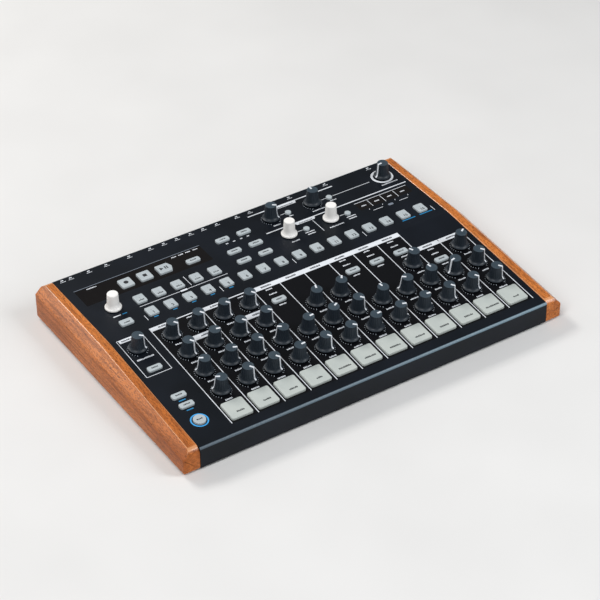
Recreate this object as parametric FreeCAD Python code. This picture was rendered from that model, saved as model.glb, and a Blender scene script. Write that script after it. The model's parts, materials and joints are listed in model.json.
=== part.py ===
"""Desktop drum machine with wooden cheeks, built as an assembly of separate pieces.

Millimetres. X runs to the player's right, Y to the back, Z up.
The origin is the centre of the overall box, on the surface the feet stand on.
"""

import FreeCAD, Part
import math
import os

V = FreeCAD.Vector

# Overall size and the folded steel case
case_half_width = 221.0
case_half_depth = 157.0
front_height = 25.8
rear_height = 39.8
crease_y = 26.6
sheet = 1.5
bend_radius = 3.0
foot_height = 3.0

# Wooden cheeks
cheek_thickness = 20.0
cheek_rear_overhang = 2.0
cheek_proud = 0.4
cheek_bevel = 9.5
cheek_front_round = 8.0
cheek_rear_round = 2.5

# Named clearances
seat_gap = 0.3
slot_gap = 0.3
shaft_running_fit = 0.05
pan_gap = 0.3

# Circuit boards and what stands on them
board_depth = 10.0
board_thickness = 1.6
board_edge_gap = 11.0
front_board_front = -140.0
front_board_back = 22.0
rear_board_front = 36.0
rear_board_back = 137.0
socket_board_depth = 60.0
standoff_diameter = 6.0
standoff_x = (-190.0, -64.0, 45.0, 190.0)
standoff_inset = 8.0
chip_inset = 6.0
capacitor_inset = 12.0
lead_inset = 10.0
ribbon_inset = 15.0
chip_x = (-150.0, -90.0, -45.0, 80.0, 150.0)
capacitor_x = (-110.0, 105.0, 125.0, 172.0)
chip_height = 1.4
chip_width = 14.0
capacitor_radius = 4.0
capacitor_height = 11.0
header_x = -60.0
header_width = 42.0
header_depth = 5.0
header_height = 5.0
ribbon_width = 40.0
ribbon_thickness = 0.8
pot_side = 10.0
pot_height = 6.8
bushing_diameter = 7.0
bushing_rise = 0.4
shaft_diameter = 6.0
shaft_top = 12.0
shaft_floor = 7.0
switch_side = 6.2
switch_height = 3.6
stem_diameter = 3.2
stem_reach = 7.4
well_depth = 2.8

# Dark knobs
knob_diameter = 20.4
knob_height = 19.7
knob_floor = 1.9
knob_rim = 1.0
knob_grip_diameter = 15.2
knob_top_diameter = 12.8
knob_skirt_top = 6.2
knob_edge = 0.8
flute_count = 20
flute_depth = 0.35
flute_radius = 0.7
pointer_width = 1.5
pointer_rise = 0.2
pointer_inner = 1.6

# White encoder knobs
encoder_diameter = 18.6
encoder_height = 20.0
encoder_floor = 0.9
encoder_rim = 2.0
encoder_grip_diameter = 13.4
encoder_top_diameter = 12.4
encoder_skirt_top = 9.0

# Buttons and pads
cap_flange = 0.8
cap_flange_thickness = 1.2
cap_edge = 0.4
button_rise = 2.0
button_travel = 1.0
step_width = 12.4
step_depth = 14.4
transport_side = 15.4
value_button_depth = 9.7
play_point = 3.0
pill_width = 16.9
pill_depth = 7.7
pill_corner = 2.2
square_corner = 1.6
round_button_diameter = 7.4
start_button_diameter = 14.0
pad_side = 25.9
pad_corner = 2.5
pad_rise = 2.5

# Layout of the sloping front field: twelve voice columns
column_first_line = -174.0
column_pitch = 32.25
column_count = 12
knob_row_first = -94.8
knob_row_pitch = 33.0
pad_row_y = -126.8
pad_offset = -1.0
voice_pill_y = -4.9
low_voice_pill_y = -38.1
left_strip_x = -200.2
roll_knob_y = 4.0
roll_pill_y = -31.3
mute_pill_y = -80.0
solo_pill_y = -95.8
start_button_y = -121.4

# Layout of the level rear field
step_first_x = -156.2
step_pitch = 23.64
step_row_y = 49.9
mode_row_y = 75.4
transport_row_y = 108.9
tap_x = -71.6
tap_y = 104.7
value_knob_x = -188.0
value_knob_y = 77.7
value_button_x = -188.8
value_button_y = 47.7
pattern_pill_x = (-24.0, 4.1)
pattern_pill_y = (120.2, 94.5, 74.0)
filter_knob_x = (44.3, 100.7)
filter_knob_y = 126.0
sync_knob_x = (45.0, 101.4)
sync_knob_y = 88.6
filter_button_x = (67.0, 123.2)
filter_button_y = 125.1
sync_button_y = 86.8
master_knob_x = 199.6
master_knob_y = 127.5

# Display window and touch strip, let into the panel
window_thickness = 0.8
window_left = -210.0
window_right = -51.0
window_front = 95.5
window_rear = 125.5
touch_left = 140.0
touch_right = 212.0
touch_front = 83.5
touch_rear = 98.5

# Rear sockets, by the place of each along the back
socket_floor = 6.5
phones_mini_x = -205.0
big_jack_x = (-182.0, -156.0, -127.0)
mini_jack_x = (-100.0, -82.5, -65.5, -47.5, -31.0, -13.0)
clock_jack_x = (13.5, 31.0)
din_x = (58.0, 84.5)
usb_x = 134.0
inlet_x = 178.0
power_switch_x = 201.0
mini_bore_radius = 1.8
mini_body_side = 11.0
mini_body_depth = 14.0
mini_nose_radius = 3.0
big_bore_radius = 3.25
big_body_side = 18.0
big_body_depth = 28.0
big_nose_radius = 5.5
din_radius = 7.6
din_body_side = 20.0
din_body_depth = 14.0
din_well_depth = 9.0
din_pin_radius = 0.7
din_pin_circle = 5.0
usb_width = 12.0
usb_height = 11.0
usb_well_width = 8.6
usb_well_height = 8.0
usb_body_depth = 16.0
usb_tongue_width = 5.6
usb_tongue_height = 2.6
usb_tongue_drop = 1.0
inlet_bore_radius = 3.0
inlet_body_side = 11.0
inlet_body_depth = 14.0
inlet_nose_radius = 4.5
inlet_pin_radius = 1.0
switch_frame_width = 21.0
switch_frame_height = 15.0
switch_well_width = 16.0
switch_well_height = 10.0
switch_body_depth = 12.0
rocker_swing = 10.0
rocker_pivot_depth = 3.0
rocker_pin_radius = 1.0
rocker_rise = 0.3
rocker_side_gap = 1.0
power_switch_z = 17.0
mini_bore_length = 13.0
big_bore_length = 26.0
inlet_bore_length = 10.0
socket_rise = 0.5
pin_setback = 2.0
switch_lip = 1.5
switch_lip_thickness = 1.0
pivot_seat = 1.0

# Feet, pillars and screws
foot_diameter = 14.0
foot_inset_x = 200.0
foot_inset_y = 135.0
pillar_diameter = 7.0
screw_radius = 1.5
screw_head_radius = 2.9
screw_head_height = 1.6
screw_thread = 9.0
pillar_x = 215.0
middle_pillar_x = 19.5
front_pillar_y = -147.0
mid_pillar_y = 30.5
rear_pillar_y = 142.0
cheek_screws = ((-130.0, 12.0), (0.0, 14.0), (130.0, 14.0))
cheek_screw_reach = 14.0

# Values that follow from those above
slope = math.atan2(rear_height - front_height, crease_y + case_half_depth)
origin_shift = V(0, -cheek_rear_overhang / 2, 0)
board_underside = board_depth + board_thickness
jack_low_z = socket_floor + mini_body_side / 2
jack_rows = (jack_low_z, jack_low_z + mini_body_side)
big_jack_z = socket_floor + big_body_side / 2
din_z = socket_floor + din_body_side / 2
usb_z = socket_floor + usb_height / 2
inlet_z = socket_floor + inlet_body_side / 2
wall_back = sheet + slot_gap

voices = ("kick1", "kick2", "snare", "clap", "rim", "closed_hat", "open_hat",
          "high_tom", "low_tom", "cymbal", "maracas", "zap")
row_names = ("level", "tune", "decay", "tone")
knob_rows = ((0, 1, 2, 3, 4, 5, 6, 7, 8, 9, 10, 11),
             (0, 1, 2, 3, 4, 5, 6, 7, 8, 9, 10, 11),
             (0, 1, 2, 3, 5, 6, 9, 11),
             (0, 1, 2, 3))

# Direction of each pointer as the machine was left, in degrees from +X towards +Y
roll_pointer = -40
cutoff_pointer = -38
resonance_pointer = 92
master_pointer = 186
pointers = ((152, -56, -56, 4, -58, -42, 3, -20, -8, -55, -55, -54),
            (152, -25, -50, 148, 5, 27, -50, 100, 148, 100, 193, -50),
            (-56, -12, -52, -47, 73, 56, 118, 35),
            (-54, -54, -52, -54))


def panel_height(y):
    """Height of the panel's top surface above the feet at depth y."""
    drop = max(0.0, crease_y - y) * math.tan(slope)
    return foot_height + rear_height - drop


def seat(x, y):
    """Placement on the panel at (x, y), with local +Z square to the panel."""
    tilt = math.degrees(slope) if y < crease_y else 0.0
    return FreeCAD.Placement(V(x, y, panel_height(y)), FreeCAD.Rotation(V(1, 0, 0), tilt))


def placed(shape, placement):
    """A copy of the shape moved by the placement."""
    copy = shape.copy()
    copy.Placement = placement.multiply(copy.Placement)
    return copy


def column_x(index):
    """Middle of a voice column."""
    return column_first_line + (index + 0.5) * column_pitch


def step_x(index):
    """Middle of a step button."""
    return step_first_x + index * step_pitch


def knob_y(row):
    """Depth of a row of voice knobs, row 0 at the front."""
    return knob_row_first + row * knob_row_pitch


def export(shape, name):
    """Writes one sub-part, moved so that the origin is the middle of the overall box."""
    moved = shape.copy()
    moved.translate(origin_shift)
    moved.exportStep("parts/" + name + ".step")
    state = "valid" if moved.isValid() else "INVALID"
    print(name, len(moved.Solids), "solids", round(moved.Volume, 1), "mm3", state)


def prism(outline, height, base=0.0):
    """A face or wire raised along Z from a base height."""
    face = outline if outline.ShapeType == "Face" else Part.Face(outline)
    face = face.copy()
    face.translate(V(0, 0, base))
    return face.extrude(V(0, 0, height))


def rounded_rectangle(width, depth, corner):
    """Closed wire of a rectangle with round corners, centred on the origin."""
    a = width / 2 - corner
    b = depth / 2 - corner
    q = corner * math.sqrt(0.5)
    edges = []
    for sx, sy in ((1, -1), (1, 1), (-1, 1), (-1, -1)):
        centre = V(sx * a, sy * b, 0)
        first = centre + (V(0, sy * corner, 0) if sx * sy < 0 else V(sx * corner, 0, 0))
        last = centre + (V(sx * corner, 0, 0) if sx * sy < 0 else V(0, sy * corner, 0))
        edges.append(Part.Arc(first, centre + V(sx * q, sy * q, 0), last).toShape())
    joined = []
    for i, edge in enumerate(edges):
        joined.append(edge)
        joined.append(Part.makeLine(edge.valueAt(edge.LastParameter), edges[(i + 1) % 4].valueAt(0)))
    return Part.Wire(Part.__sortEdges__(joined))


def circle(radius):
    """Closed wire of a circle on the origin."""
    return Part.Wire(Part.makeCircle(radius))


def play_outline(side, point):
    """A square with its right side drawn out to a blunt point."""
    h = side / 2
    corners = [V(-h, -h, 0), V(h, -h, 0), V(h + point, 0, 0), V(h, h, 0), V(-h, h, 0), V(-h, -h, 0)]
    return Part.Wire(Part.makePolygon(corners))


def case_profile(inset):
    """Side outline of the case, drawn in inside the sheet by the inset, open below when inset."""
    low = foot_height - (sheet if inset else 0.0)
    front = -case_half_depth + inset
    back = case_half_depth - inset
    rise = inset / math.cos(slope)
    top = foot_height + rear_height - inset
    crease = crease_y + inset * math.tan(slope / 2)
    front_top = panel_height(front) - rise
    points = [V(0, front, low), V(0, front, front_top), V(0, crease, top), V(0, back, top), V(0, back, low)]
    return Part.Face(Part.makePolygon(points + points[:1]))


def case_block(inset, half_width):
    """The case outline as a block, with its bends rounded."""
    block = case_profile(inset).extrude(V(2 * half_width, 0, 0))
    block.translate(V(-half_width, 0, 0))
    radius = bend_radius - min(inset, sheet)
    bends = [e for e in block.Edges if is_top_bend(e, inset)]
    return block.makeFillet(radius, bends)


def is_top_bend(edge, inset):
    """True for the long front and rear top edges of the case block."""
    box = edge.BoundBox
    if box.XLength < case_half_width:
        return False
    high = box.ZMin > foot_height + front_height / 2
    return high and abs(abs(box.Center.y) - case_half_depth + inset) < 0.01


def button_sites():
    """Every button as (group, x, y, outline)."""
    square = rounded_rectangle(step_width, step_depth, square_corner)
    big = rounded_rectangle(transport_side, transport_side, square_corner)
    pill = rounded_rectangle(pill_width, pill_depth, pill_corner)
    small = circle(round_button_diameter / 2)
    sites = []
    for i in range(16):
        sites.append(("step_buttons", step_x(i), step_row_y, square))
    for i in range(5):
        sites.append(("transport_and_mode_buttons", step_x(i), mode_row_y, square))
    for i in range(2):
        sites.append(("transport_and_mode_buttons", step_x(i) + (transport_side - step_width) / 2,
                      transport_row_y, big))
    sites.append(("transport_and_mode_buttons", step_x(2) + (transport_side - step_width) / 2,
                  transport_row_y, play_outline(transport_side, play_point)))
    sites.append(("transport_and_mode_buttons", tap_x, tap_y, pill))
    sites.append(("transport_and_mode_buttons", value_button_x, value_button_y,
                  rounded_rectangle(transport_side, value_button_depth, square_corner)))
    for x in pattern_pill_x:
        for y in pattern_pill_y:
            sites.append(("pattern_and_filter_buttons", x, y, pill))
    for x in filter_button_x:
        for y in (filter_button_y, sync_button_y):
            sites.append(("pattern_and_filter_buttons", x, y, small))
    for i in (4, 7, 8, 9):
        sites.append(("voice_buttons", column_x(i), voice_pill_y, pill))
    sites.append(("voice_buttons", column_x(10), low_voice_pill_y, pill))
    for y in (roll_pill_y, mute_pill_y, solo_pill_y):
        sites.append(("voice_buttons", left_strip_x, y, pill))
    sites.append(("start_button", left_strip_x, start_button_y, circle(start_button_diameter / 2)))
    pad = rounded_rectangle(pad_side, pad_side, pad_corner)
    for i in range(column_count):
        sites.append(("drum_pads", column_x(i) + pad_offset, pad_row_y, pad))
    return sites


def rise_of(group):
    """How far a group's caps stand above the panel."""
    return pad_rise if group == "drum_pads" else button_rise


def grown(outline, gap):
    """The outline drawn outwards by a gap, as a face."""
    return Part.Face(Part.Face(outline).makeOffset2D(gap).Wires[0])


def button_cap(outline, rise):
    """One cap: visible key, hidden flange that stops it, and the stem on its switch."""
    key = prism(outline, rise + sheet + seat_gap + cap_flange_thickness,
                -(sheet + seat_gap + cap_flange_thickness))
    top = [e for e in key.Edges if e.BoundBox.ZMin > rise - 0.01]
    key = key.makeFillet(cap_edge, top)
    flange = prism(grown(outline, cap_flange), cap_flange_thickness,
                   -(sheet + seat_gap + cap_flange_thickness))
    stem = Part.makeCylinder(stem_diameter / 2, stem_reach - sheet, V(0, 0, -stem_reach))
    return key.fuse([flange, stem]).removeSplitter()


def button_group(group, sites):
    """All caps of one group, placed."""
    return Part.makeCompound([placed(button_cap(outline, rise_of(g)), seat(x, y))
                              for g, x, y, outline in sites if g == group])


def knob_profile(diameter, height, floor, rim, grip, crown, skirt_top):
    """Points of a knob's side: rim, hollow skirt and tapering grip."""
    r = diameter / 2
    mid = V(grip / 2 + (r - grip / 2) * 0.38, 0, floor + rim + (skirt_top - floor - rim) * 0.36)
    rim_top = V(r, 0, floor + rim)
    grip_foot = V(grip / 2, 0, skirt_top)
    edges = [Part.makeLine(V(0, 0, floor), V(r, 0, floor)),
             Part.makeLine(V(r, 0, floor), rim_top),
             Part.Arc(rim_top, mid, grip_foot).toShape(),
             Part.makeLine(grip_foot, V(crown / 2, 0, height - knob_edge)),
             Part.makeLine(V(crown / 2, 0, height - knob_edge), V(crown / 2 - knob_edge, 0, height)),
             Part.makeLine(V(crown / 2 - knob_edge, 0, height), V(0, 0, height)),
             Part.makeLine(V(0, 0, height), V(0, 0, floor))]
    return Part.Face(Part.Wire(edges))


def turned(profile):
    """A half profile turned about Z into a solid."""
    return profile.revolve(V(0, 0, 0), V(0, 0, 1), 360)


def shaft():
    """The control's turning shaft."""
    return Part.makeCylinder(shaft_diameter / 2, shaft_top + shaft_floor, V(0, 0, -shaft_floor))


def shaft_bore():
    """The blind hole in a knob that its shaft fills."""
    return Part.makeCylinder(shaft_diameter / 2, shaft_top, V(0, 0, 0))


def dark_knob():
    """Fluted knob with a pointer let into its top and side, on its shaft; pointer towards +X."""
    profile = knob_profile(knob_diameter, knob_height, knob_floor, knob_rim, knob_grip_diameter,
                           knob_top_diameter, knob_skirt_top)
    body = turned(profile)
    lean = math.atan2((knob_grip_diameter - knob_top_diameter) / 2,
                      knob_height - knob_edge - knob_skirt_top)
    flutes = []
    for i in range(flute_count):
        angle = 2 * math.pi * (i + 0.5) / flute_count
        out = V(math.cos(angle), math.sin(angle), 0)
        foot = out * (knob_grip_diameter / 2 + flute_radius - flute_depth) + V(0, 0, knob_skirt_top)
        along = V(0, 0, math.cos(lean)) - out * math.sin(lean)
        flutes.append(Part.makeCylinder(flute_radius, knob_height, foot, along))
    body = body.cut(flutes).cut(shaft_bore())
    slot = Part.makeBox(knob_diameter, pointer_width, knob_height * 2,
                        V(pointer_inner, -pointer_width / 2, knob_floor + knob_rim))
    skin = turned(profile)
    skin.translate(V(0, 0, pointer_rise))
    wide = knob_profile(knob_diameter, knob_height, knob_floor, knob_rim,
                        knob_grip_diameter + 2 * pointer_rise, knob_top_diameter + 2 * pointer_rise,
                        knob_skirt_top)
    outer = skin.fuse(turned(wide)).common(slot)
    inlay = outer.cut(body)
    inlay = max(inlay.Solids, key=lambda s: s.Volume)
    return Part.makeCompound([body, inlay, shaft()])


def encoder_knob():
    """Plain white knob of an endless encoder, on its shaft."""
    profile = knob_profile(encoder_diameter, encoder_height, encoder_floor, encoder_rim,
                           encoder_grip_diameter, encoder_top_diameter, encoder_skirt_top)
    return Part.makeCompound([turned(profile).cut(shaft_bore()), shaft()])


def knob_sites():
    """Every turning control as (node name, x, y, pointer angle or None for an encoder)."""
    sites = []
    for row, columns in enumerate(knob_rows):
        for place, column in enumerate(columns):
            name = "knob_" + voices[column] + "_" + row_names[row]
            sites.append((name, column_x(column), knob_y(row), pointers[row][place]))
    sites.append(("knob_roll_amount", left_strip_x, roll_knob_y, roll_pointer))
    sites.append(("knob_filter_cutoff", filter_knob_x[0], filter_knob_y, cutoff_pointer))
    sites.append(("knob_filter_resonance", filter_knob_x[1], filter_knob_y, resonance_pointer))
    sites.append(("knob_master_volume", master_knob_x, master_knob_y, master_pointer))
    sites.append(("knob_value_encoder", value_knob_x, value_knob_y, None))
    sites.append(("knob_swing_encoder", sync_knob_x[0], sync_knob_y, None))
    sites.append(("knob_random_encoder", sync_knob_x[1], sync_knob_y, None))
    return sites


def pot_body():
    """Body and bushing of a rotary control, standing on its board."""
    block = Part.makeBox(pot_side, pot_side, pot_height,
                         V(-pot_side / 2, -pot_side / 2, -board_depth))
    bushing = Part.makeCylinder(bushing_diameter / 2, board_depth + bushing_rise, V(0, 0, -board_depth))
    bore = Part.makeCylinder(shaft_diameter / 2 + shaft_running_fit,
                             shaft_floor + seat_gap + 2 * bushing_rise, V(0, 0, -shaft_floor - seat_gap))
    return block.fuse(bushing).cut(bore)


def tact_switch():
    """Switch body with the well that a cap's stem slides in."""
    block = Part.makeBox(switch_side, switch_side, switch_height,
                         V(-switch_side / 2, -switch_side / 2, -board_depth))
    well = Part.makeCylinder(stem_diameter / 2 + seat_gap / 2, well_depth,
                             V(0, 0, switch_height - board_depth - well_depth))
    return block.cut(well)


def pots_and_switches(knobs, buttons):
    """All rotary controls and switches that stand on the control boards."""
    pot = pot_body()
    switch = tact_switch()
    pieces = [placed(pot, seat(x, y)) for _, x, y, _ in knobs]
    pieces += [placed(switch, seat(x, y)) for _, x, y, _ in buttons]
    return Part.makeCompound(pieces)


def pillar_sites():
    """Where the steel pillars stand."""
    sites = [(x, y) for x in (-pillar_x, pillar_x) for y in (front_pillar_y, mid_pillar_y, rear_pillar_y)]
    return sites + [(middle_pillar_x, y) for y in (front_pillar_y, mid_pillar_y)]


def top_panel(knobs, buttons):
    """Folded steel top with its front and rear walls, all openings and the pillars below."""
    shell = case_block(0.0, case_half_width).cut(case_block(sheet, case_half_width + sheet))
    tools = []
    hole = Part.makeCylinder(bushing_diameter / 2 + slot_gap, 4 * sheet, V(0, 0, -3 * sheet))
    for _, x, y, _ in knobs:
        tools.append(placed(hole, seat(x, y)))
    for _, x, y, outline in buttons:
        tools.append(placed(prism(grown(outline, slot_gap), 4 * sheet, -3 * sheet), seat(x, y)))
    tools.append(window_plate())
    tools.append(touch_plate())
    tools += socket_cutters()
    shell = shell.cut(tools)
    pillars = []
    for x, y in pillar_sites():
        height = panel_height(y) - foot_height - sheet - sheet / 2
        post = Part.makeCylinder(pillar_diameter / 2, height, V(x, y, foot_height + sheet))
        bore = Part.makeCylinder(screw_radius, screw_thread, V(x, y, foot_height + sheet))
        pillars.append(post.cut(bore))
    return shell.fuse(pillars)


def let_in_plate(left, right, front, rear):
    """A plate let into the level part of the panel, flush with its top."""
    return Part.makeBox(right - left, rear - front, window_thickness,
                        V(left, front, foot_height + rear_height - window_thickness))


def window_plate():
    """The display window before it is pierced."""
    return let_in_plate(window_left, window_right, window_front, window_rear)


def touch_plate():
    """The touch strip."""
    return let_in_plate(touch_left, touch_right, touch_front, touch_rear)


def display_and_touch_strip(buttons):
    """Smoked display window, pierced for its keys, and the touch strip."""
    holes = [placed(prism(grown(outline, slot_gap), 4 * sheet, -2 * sheet), seat(x, y))
             for _, x, y, outline in buttons if y > window_front and x < window_right]
    window = window_plate().cut(holes)
    return Part.makeCompound([window.Solids[0], touch_plate()])


def base_pan():
    """Floor of the case with the side flanges that carry the cheeks."""
    inset = sheet + pan_gap
    floor = Part.makeBox(2 * case_half_width, 2 * (case_half_depth - inset), sheet,
                         V(-case_half_width, -case_half_depth + inset, foot_height))
    block = case_block(inset, case_half_width)
    core = Part.makeBox(2 * (case_half_width - sheet), 2 * case_half_depth, 2 * rear_height,
                        V(-case_half_width + sheet, -case_half_depth, 0))
    below = Part.makeBox(2 * case_half_width, 2 * case_half_depth, foot_height,
                         V(-case_half_width, -case_half_depth, 0))
    flanges = block.cut(core).cut(below)
    pan = floor.fuse(flanges).removeSplitter()
    holes = [Part.makeCylinder(screw_radius + slot_gap, 2 * sheet, V(x, y, foot_height - sheet / 2))
             for x, y in pillar_sites()]
    for side in (-1, 1):
        for y, z in cheek_screws:
            start = V(side * (case_half_width - 2 * sheet), y, foot_height + z)
            holes.append(Part.makeCylinder(screw_radius + slot_gap, 3 * sheet, start, V(side, 0, 0)))
    return pan.cut(holes)


def cheek_outline():
    """Side outline of a cheek: the case's, a little proud, with round corners at the top."""
    low = foot_height
    front = -case_half_depth
    back = case_half_depth + cheek_rear_overhang
    top = foot_height + rear_height + cheek_proud
    points = [V(0, front, low), V(0, front, panel_height(front) + cheek_proud),
              V(0, crease_y, top), V(0, back, top), V(0, back, low)]
    return Part.Face(Part.makePolygon(points + points[:1]))


def bevel_wedge(side, start, end):
    """The wedge of wood taken off the outer top edge between two points of that edge, run past both."""
    along = (end - start).normalize()
    up = V(1, 0, 0).cross(along)
    up = up if up.z > 0 else up * -1
    out = V(side, 0, 0)
    case_depth = 2 * case_half_depth
    first = start - along * case_depth
    corners = [first + out + up, first - out * cheek_bevel + up, first - out * cheek_bevel,
               first - up * cheek_bevel, first - up * cheek_bevel + out, first + out + up]
    return Part.Face(Part.makePolygon(corners)).extrude(along * 3 * case_depth)


def cheek(side):
    """One wooden cheek, bevelled along its outer top edge and bored for its screws."""
    block = cheek_outline().extrude(V(side * cheek_thickness, 0, 0))
    block.translate(V(side * case_half_width, 0, 0))
    top = foot_height + rear_height + cheek_proud
    for y, least, radius in ((-case_half_depth, foot_height + front_height / 2, cheek_front_round),
                             (case_half_depth + cheek_rear_overhang, foot_height - 1, cheek_rear_round)):
        corners = [e for e in block.Edges if is_cheek_corner(e, y, least)]
        block = block.makeFillet(radius, corners)
    outer = side * (case_half_width + cheek_thickness)
    crease = V(outer, crease_y, top)
    front_top = V(outer, -case_half_depth, panel_height(-case_half_depth) + cheek_proud)
    wedges = [bevel_wedge(side, front_top, crease), bevel_wedge(side, crease, crease + V(0, 1, 0))]
    pilots = []
    for y, z in cheek_screws:
        start = V(side * case_half_width, y, foot_height + z)
        pilots.append(Part.makeCylinder(screw_radius, cheek_screw_reach - sheet, start, V(side, 0, 0)))
    return block.cut(wedges[0]).cut(wedges[1]).cut(pilots)


def is_cheek_corner(edge, y, least_z):
    """True for an edge across the cheek at depth y and above a height."""
    box = edge.BoundBox
    across = box.XLength > cheek_thickness - 0.1 and box.YLength < 0.1 and box.ZLength < 0.1
    return across and abs(box.Center.y - y) < 0.1 and box.ZMin > least_z


def rubber_feet():
    """Four round feet under the corners of the floor."""
    feet = [Part.makeCylinder(foot_diameter / 2, foot_height, V(x, y, 0))
            for x in (-foot_inset_x, foot_inset_x) for y in (-foot_inset_y, foot_inset_y)]
    return Part.makeCompound(feet)


def case_screws():
    """Screws up through the floor into the pillars, and out through the flanges into the cheeks."""
    screws = []
    for x, y in pillar_sites():
        head = Part.makeCylinder(screw_head_radius, screw_head_height,
                                 V(x, y, foot_height - screw_head_height))
        shank = Part.makeCylinder(screw_radius, sheet + screw_thread, V(x, y, foot_height))
        screws.append(head.fuse(shank))
    for side in (-1, 1):
        for y, z in cheek_screws:
            inner = V(side * (case_half_width - sheet), y, foot_height + z)
            head = Part.makeCylinder(screw_head_radius, screw_head_height, inner, V(-side, 0, 0))
            shank = Part.makeCylinder(screw_radius, cheek_screw_reach, inner, V(side, 0, 0))
            screws.append(head.fuse(shank))
    return Part.makeCompound(screws)


def control_board(front, back):
    """A control board from a front to a back depth, under the panel and parallel to it."""
    length = back - front
    width = 2 * (case_half_width - board_edge_gap)
    board = Part.makeBox(width, length, board_thickness, V(-width / 2, -length / 2, -board_underside))
    return placed(board, seat(0, (front + back) / 2))


def header(y):
    """A cable header under a control board."""
    block = Part.makeBox(header_width, header_depth, header_height,
                         V(-header_width / 2, -header_depth / 2, -board_underside - header_height))
    return placed(block, seat(header_x, y))


def ribbon(front, back):
    """The ribbon cable under the headers of both control boards, bent where the panel is."""
    def line(depth):
        first = panel_height(front) - depth / math.cos(slope)
        top = foot_height + rear_height - depth
        return [V(0, front, first), V(0, crease_y + depth * math.tan(slope / 2), top), V(0, back, top)]
    upper = line(board_underside + header_height)
    lower = line(board_underside + header_height + ribbon_thickness)
    points = upper + lower[::-1] + upper[:1]
    strip = Part.Face(Part.makePolygon(points)).extrude(V(ribbon_width, 0, 0))
    strip.translate(V(header_x - ribbon_width / 2, 0, 0))
    return strip


def socket_board():
    """The socket board on its standoffs, with its chips, capacitors and the lead up to the rear board."""
    width = 2 * (case_half_width - board_edge_gap)
    back = case_half_depth - wall_back
    front = back - socket_board_depth
    top = foot_height + socket_floor
    floor = foot_height + sheet
    underside = top - board_thickness
    pieces = [Part.makeBox(width, socket_board_depth, board_thickness, V(-width / 2, front, underside))]
    for x in standoff_x:
        for y in (front + standoff_inset, back - standoff_inset):
            pieces.append(Part.makeCylinder(standoff_diameter / 2, underside - floor, V(x, y, floor)))
    for x in chip_x:
        pieces.append(Part.makeBox(chip_width, chip_width, chip_height, V(x, front + chip_inset, top)))
    for x in capacitor_x:
        place = V(x, front + capacitor_inset, top)
        pieces.append(Part.makeCylinder(capacitor_radius, capacitor_height, place))
    under = foot_height + rear_height - board_underside
    lead_y = front + lead_inset
    lead = Part.makeBox(ribbon_width, ribbon_thickness, under - top - 2 * header_height,
                        V(-ribbon_width / 2, lead_y - ribbon_thickness / 2, top + header_height))
    for z in (top, under - header_height):
        pieces.append(Part.makeBox(header_width, header_depth, header_height,
                                   V(-header_width / 2, lead_y - header_depth / 2, z)))
    return pieces + [lead]


def circuit_boards():
    """Both control boards with the ribbon between them, and the socket board."""
    header_front = front_board_back - ribbon_inset
    header_back = rear_board_front + ribbon_inset
    pieces = [control_board(front_board_front, front_board_back),
              control_board(rear_board_front, rear_board_back)]
    pieces += [header(header_front), header(header_back)]
    pieces.append(ribbon(header_front - header_depth / 2, header_back + header_depth / 2))
    return Part.makeCompound(pieces + socket_board())


def back_cylinder(radius, depth, x, z, start=0.0):
    """A cylinder running forward from the rear face, beginning at a distance behind it."""
    return Part.makeCylinder(radius, depth, V(x, case_half_depth - start, foot_height + z), V(0, -1, 0))


def back_box(width, height, depth, x, z, start=0.0):
    """A box running forward from the rear face."""
    return Part.makeBox(width, depth, height,
                        V(x - width / 2, case_half_depth - start - depth, foot_height + z - height / 2))


def jack(body_side, body_depth, nose, bore, bore_length, x, z):
    """A jack socket: body behind the rear wall, nose through it, bore down its middle."""
    body = back_box(body_side, body_side, body_depth, x, z, wall_back)
    snout = back_cylinder(nose, wall_back + socket_rise, x, z, -socket_rise)
    return body.fuse(snout).cut(back_cylinder(bore, bore_length, x, z, -socket_rise))


def mini_jack_sites():
    """All small jack sockets as (x, z)."""
    sites = [(x, z) for x in mini_jack_x for z in jack_rows]
    sites += [(x, jack_low_z) for x in clock_jack_x]
    return sites + [(phones_mini_x, jack_low_z)]


def din_socket(x):
    """A five-pin round socket."""
    body = back_box(din_body_side, din_body_side, din_body_depth, x, din_z, wall_back)
    snout = back_cylinder(din_radius + 1, wall_back + socket_rise, x, din_z, -socket_rise)
    shell = body.fuse(snout).cut(back_cylinder(din_radius, din_well_depth, x, din_z, -socket_rise))
    pins = []
    for angle in (0, 45, 90, 135, 180):
        px = x + din_pin_circle * math.cos(math.radians(angle))
        pz = din_z - din_pin_circle * math.sin(math.radians(angle))
        pins.append(back_cylinder(din_pin_radius, din_well_depth - pin_setback, px, pz,
                                  pin_setback - socket_rise))
    return shell.fuse(pins)


def usb_socket():
    """A square data socket with its tongue near the top."""
    whole_depth = usb_body_depth + wall_back + socket_rise
    body = back_box(usb_width, usb_height, whole_depth, usb_x, usb_z, -socket_rise)
    well = back_box(usb_well_width, usb_well_height, usb_body_depth, usb_x, usb_z, -socket_rise)
    tongue_z = usb_z + usb_well_height / 2 - usb_tongue_drop - usb_tongue_height / 2
    tongue = back_box(usb_tongue_width, usb_tongue_height, usb_body_depth - pin_setback, usb_x, tongue_z,
                      pin_setback - socket_rise)
    return body.cut(well).fuse(tongue)


def power_inlet():
    """A barrel inlet with its centre pin."""
    socket = jack(inlet_body_side, inlet_body_depth, inlet_nose_radius, inlet_bore_radius,
                  inlet_bore_length, inlet_x, inlet_z)
    pin = back_cylinder(inlet_pin_radius, inlet_bore_length - pin_setback, inlet_x, inlet_z,
                        pin_setback - socket_rise)
    return socket.fuse(pin)


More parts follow.
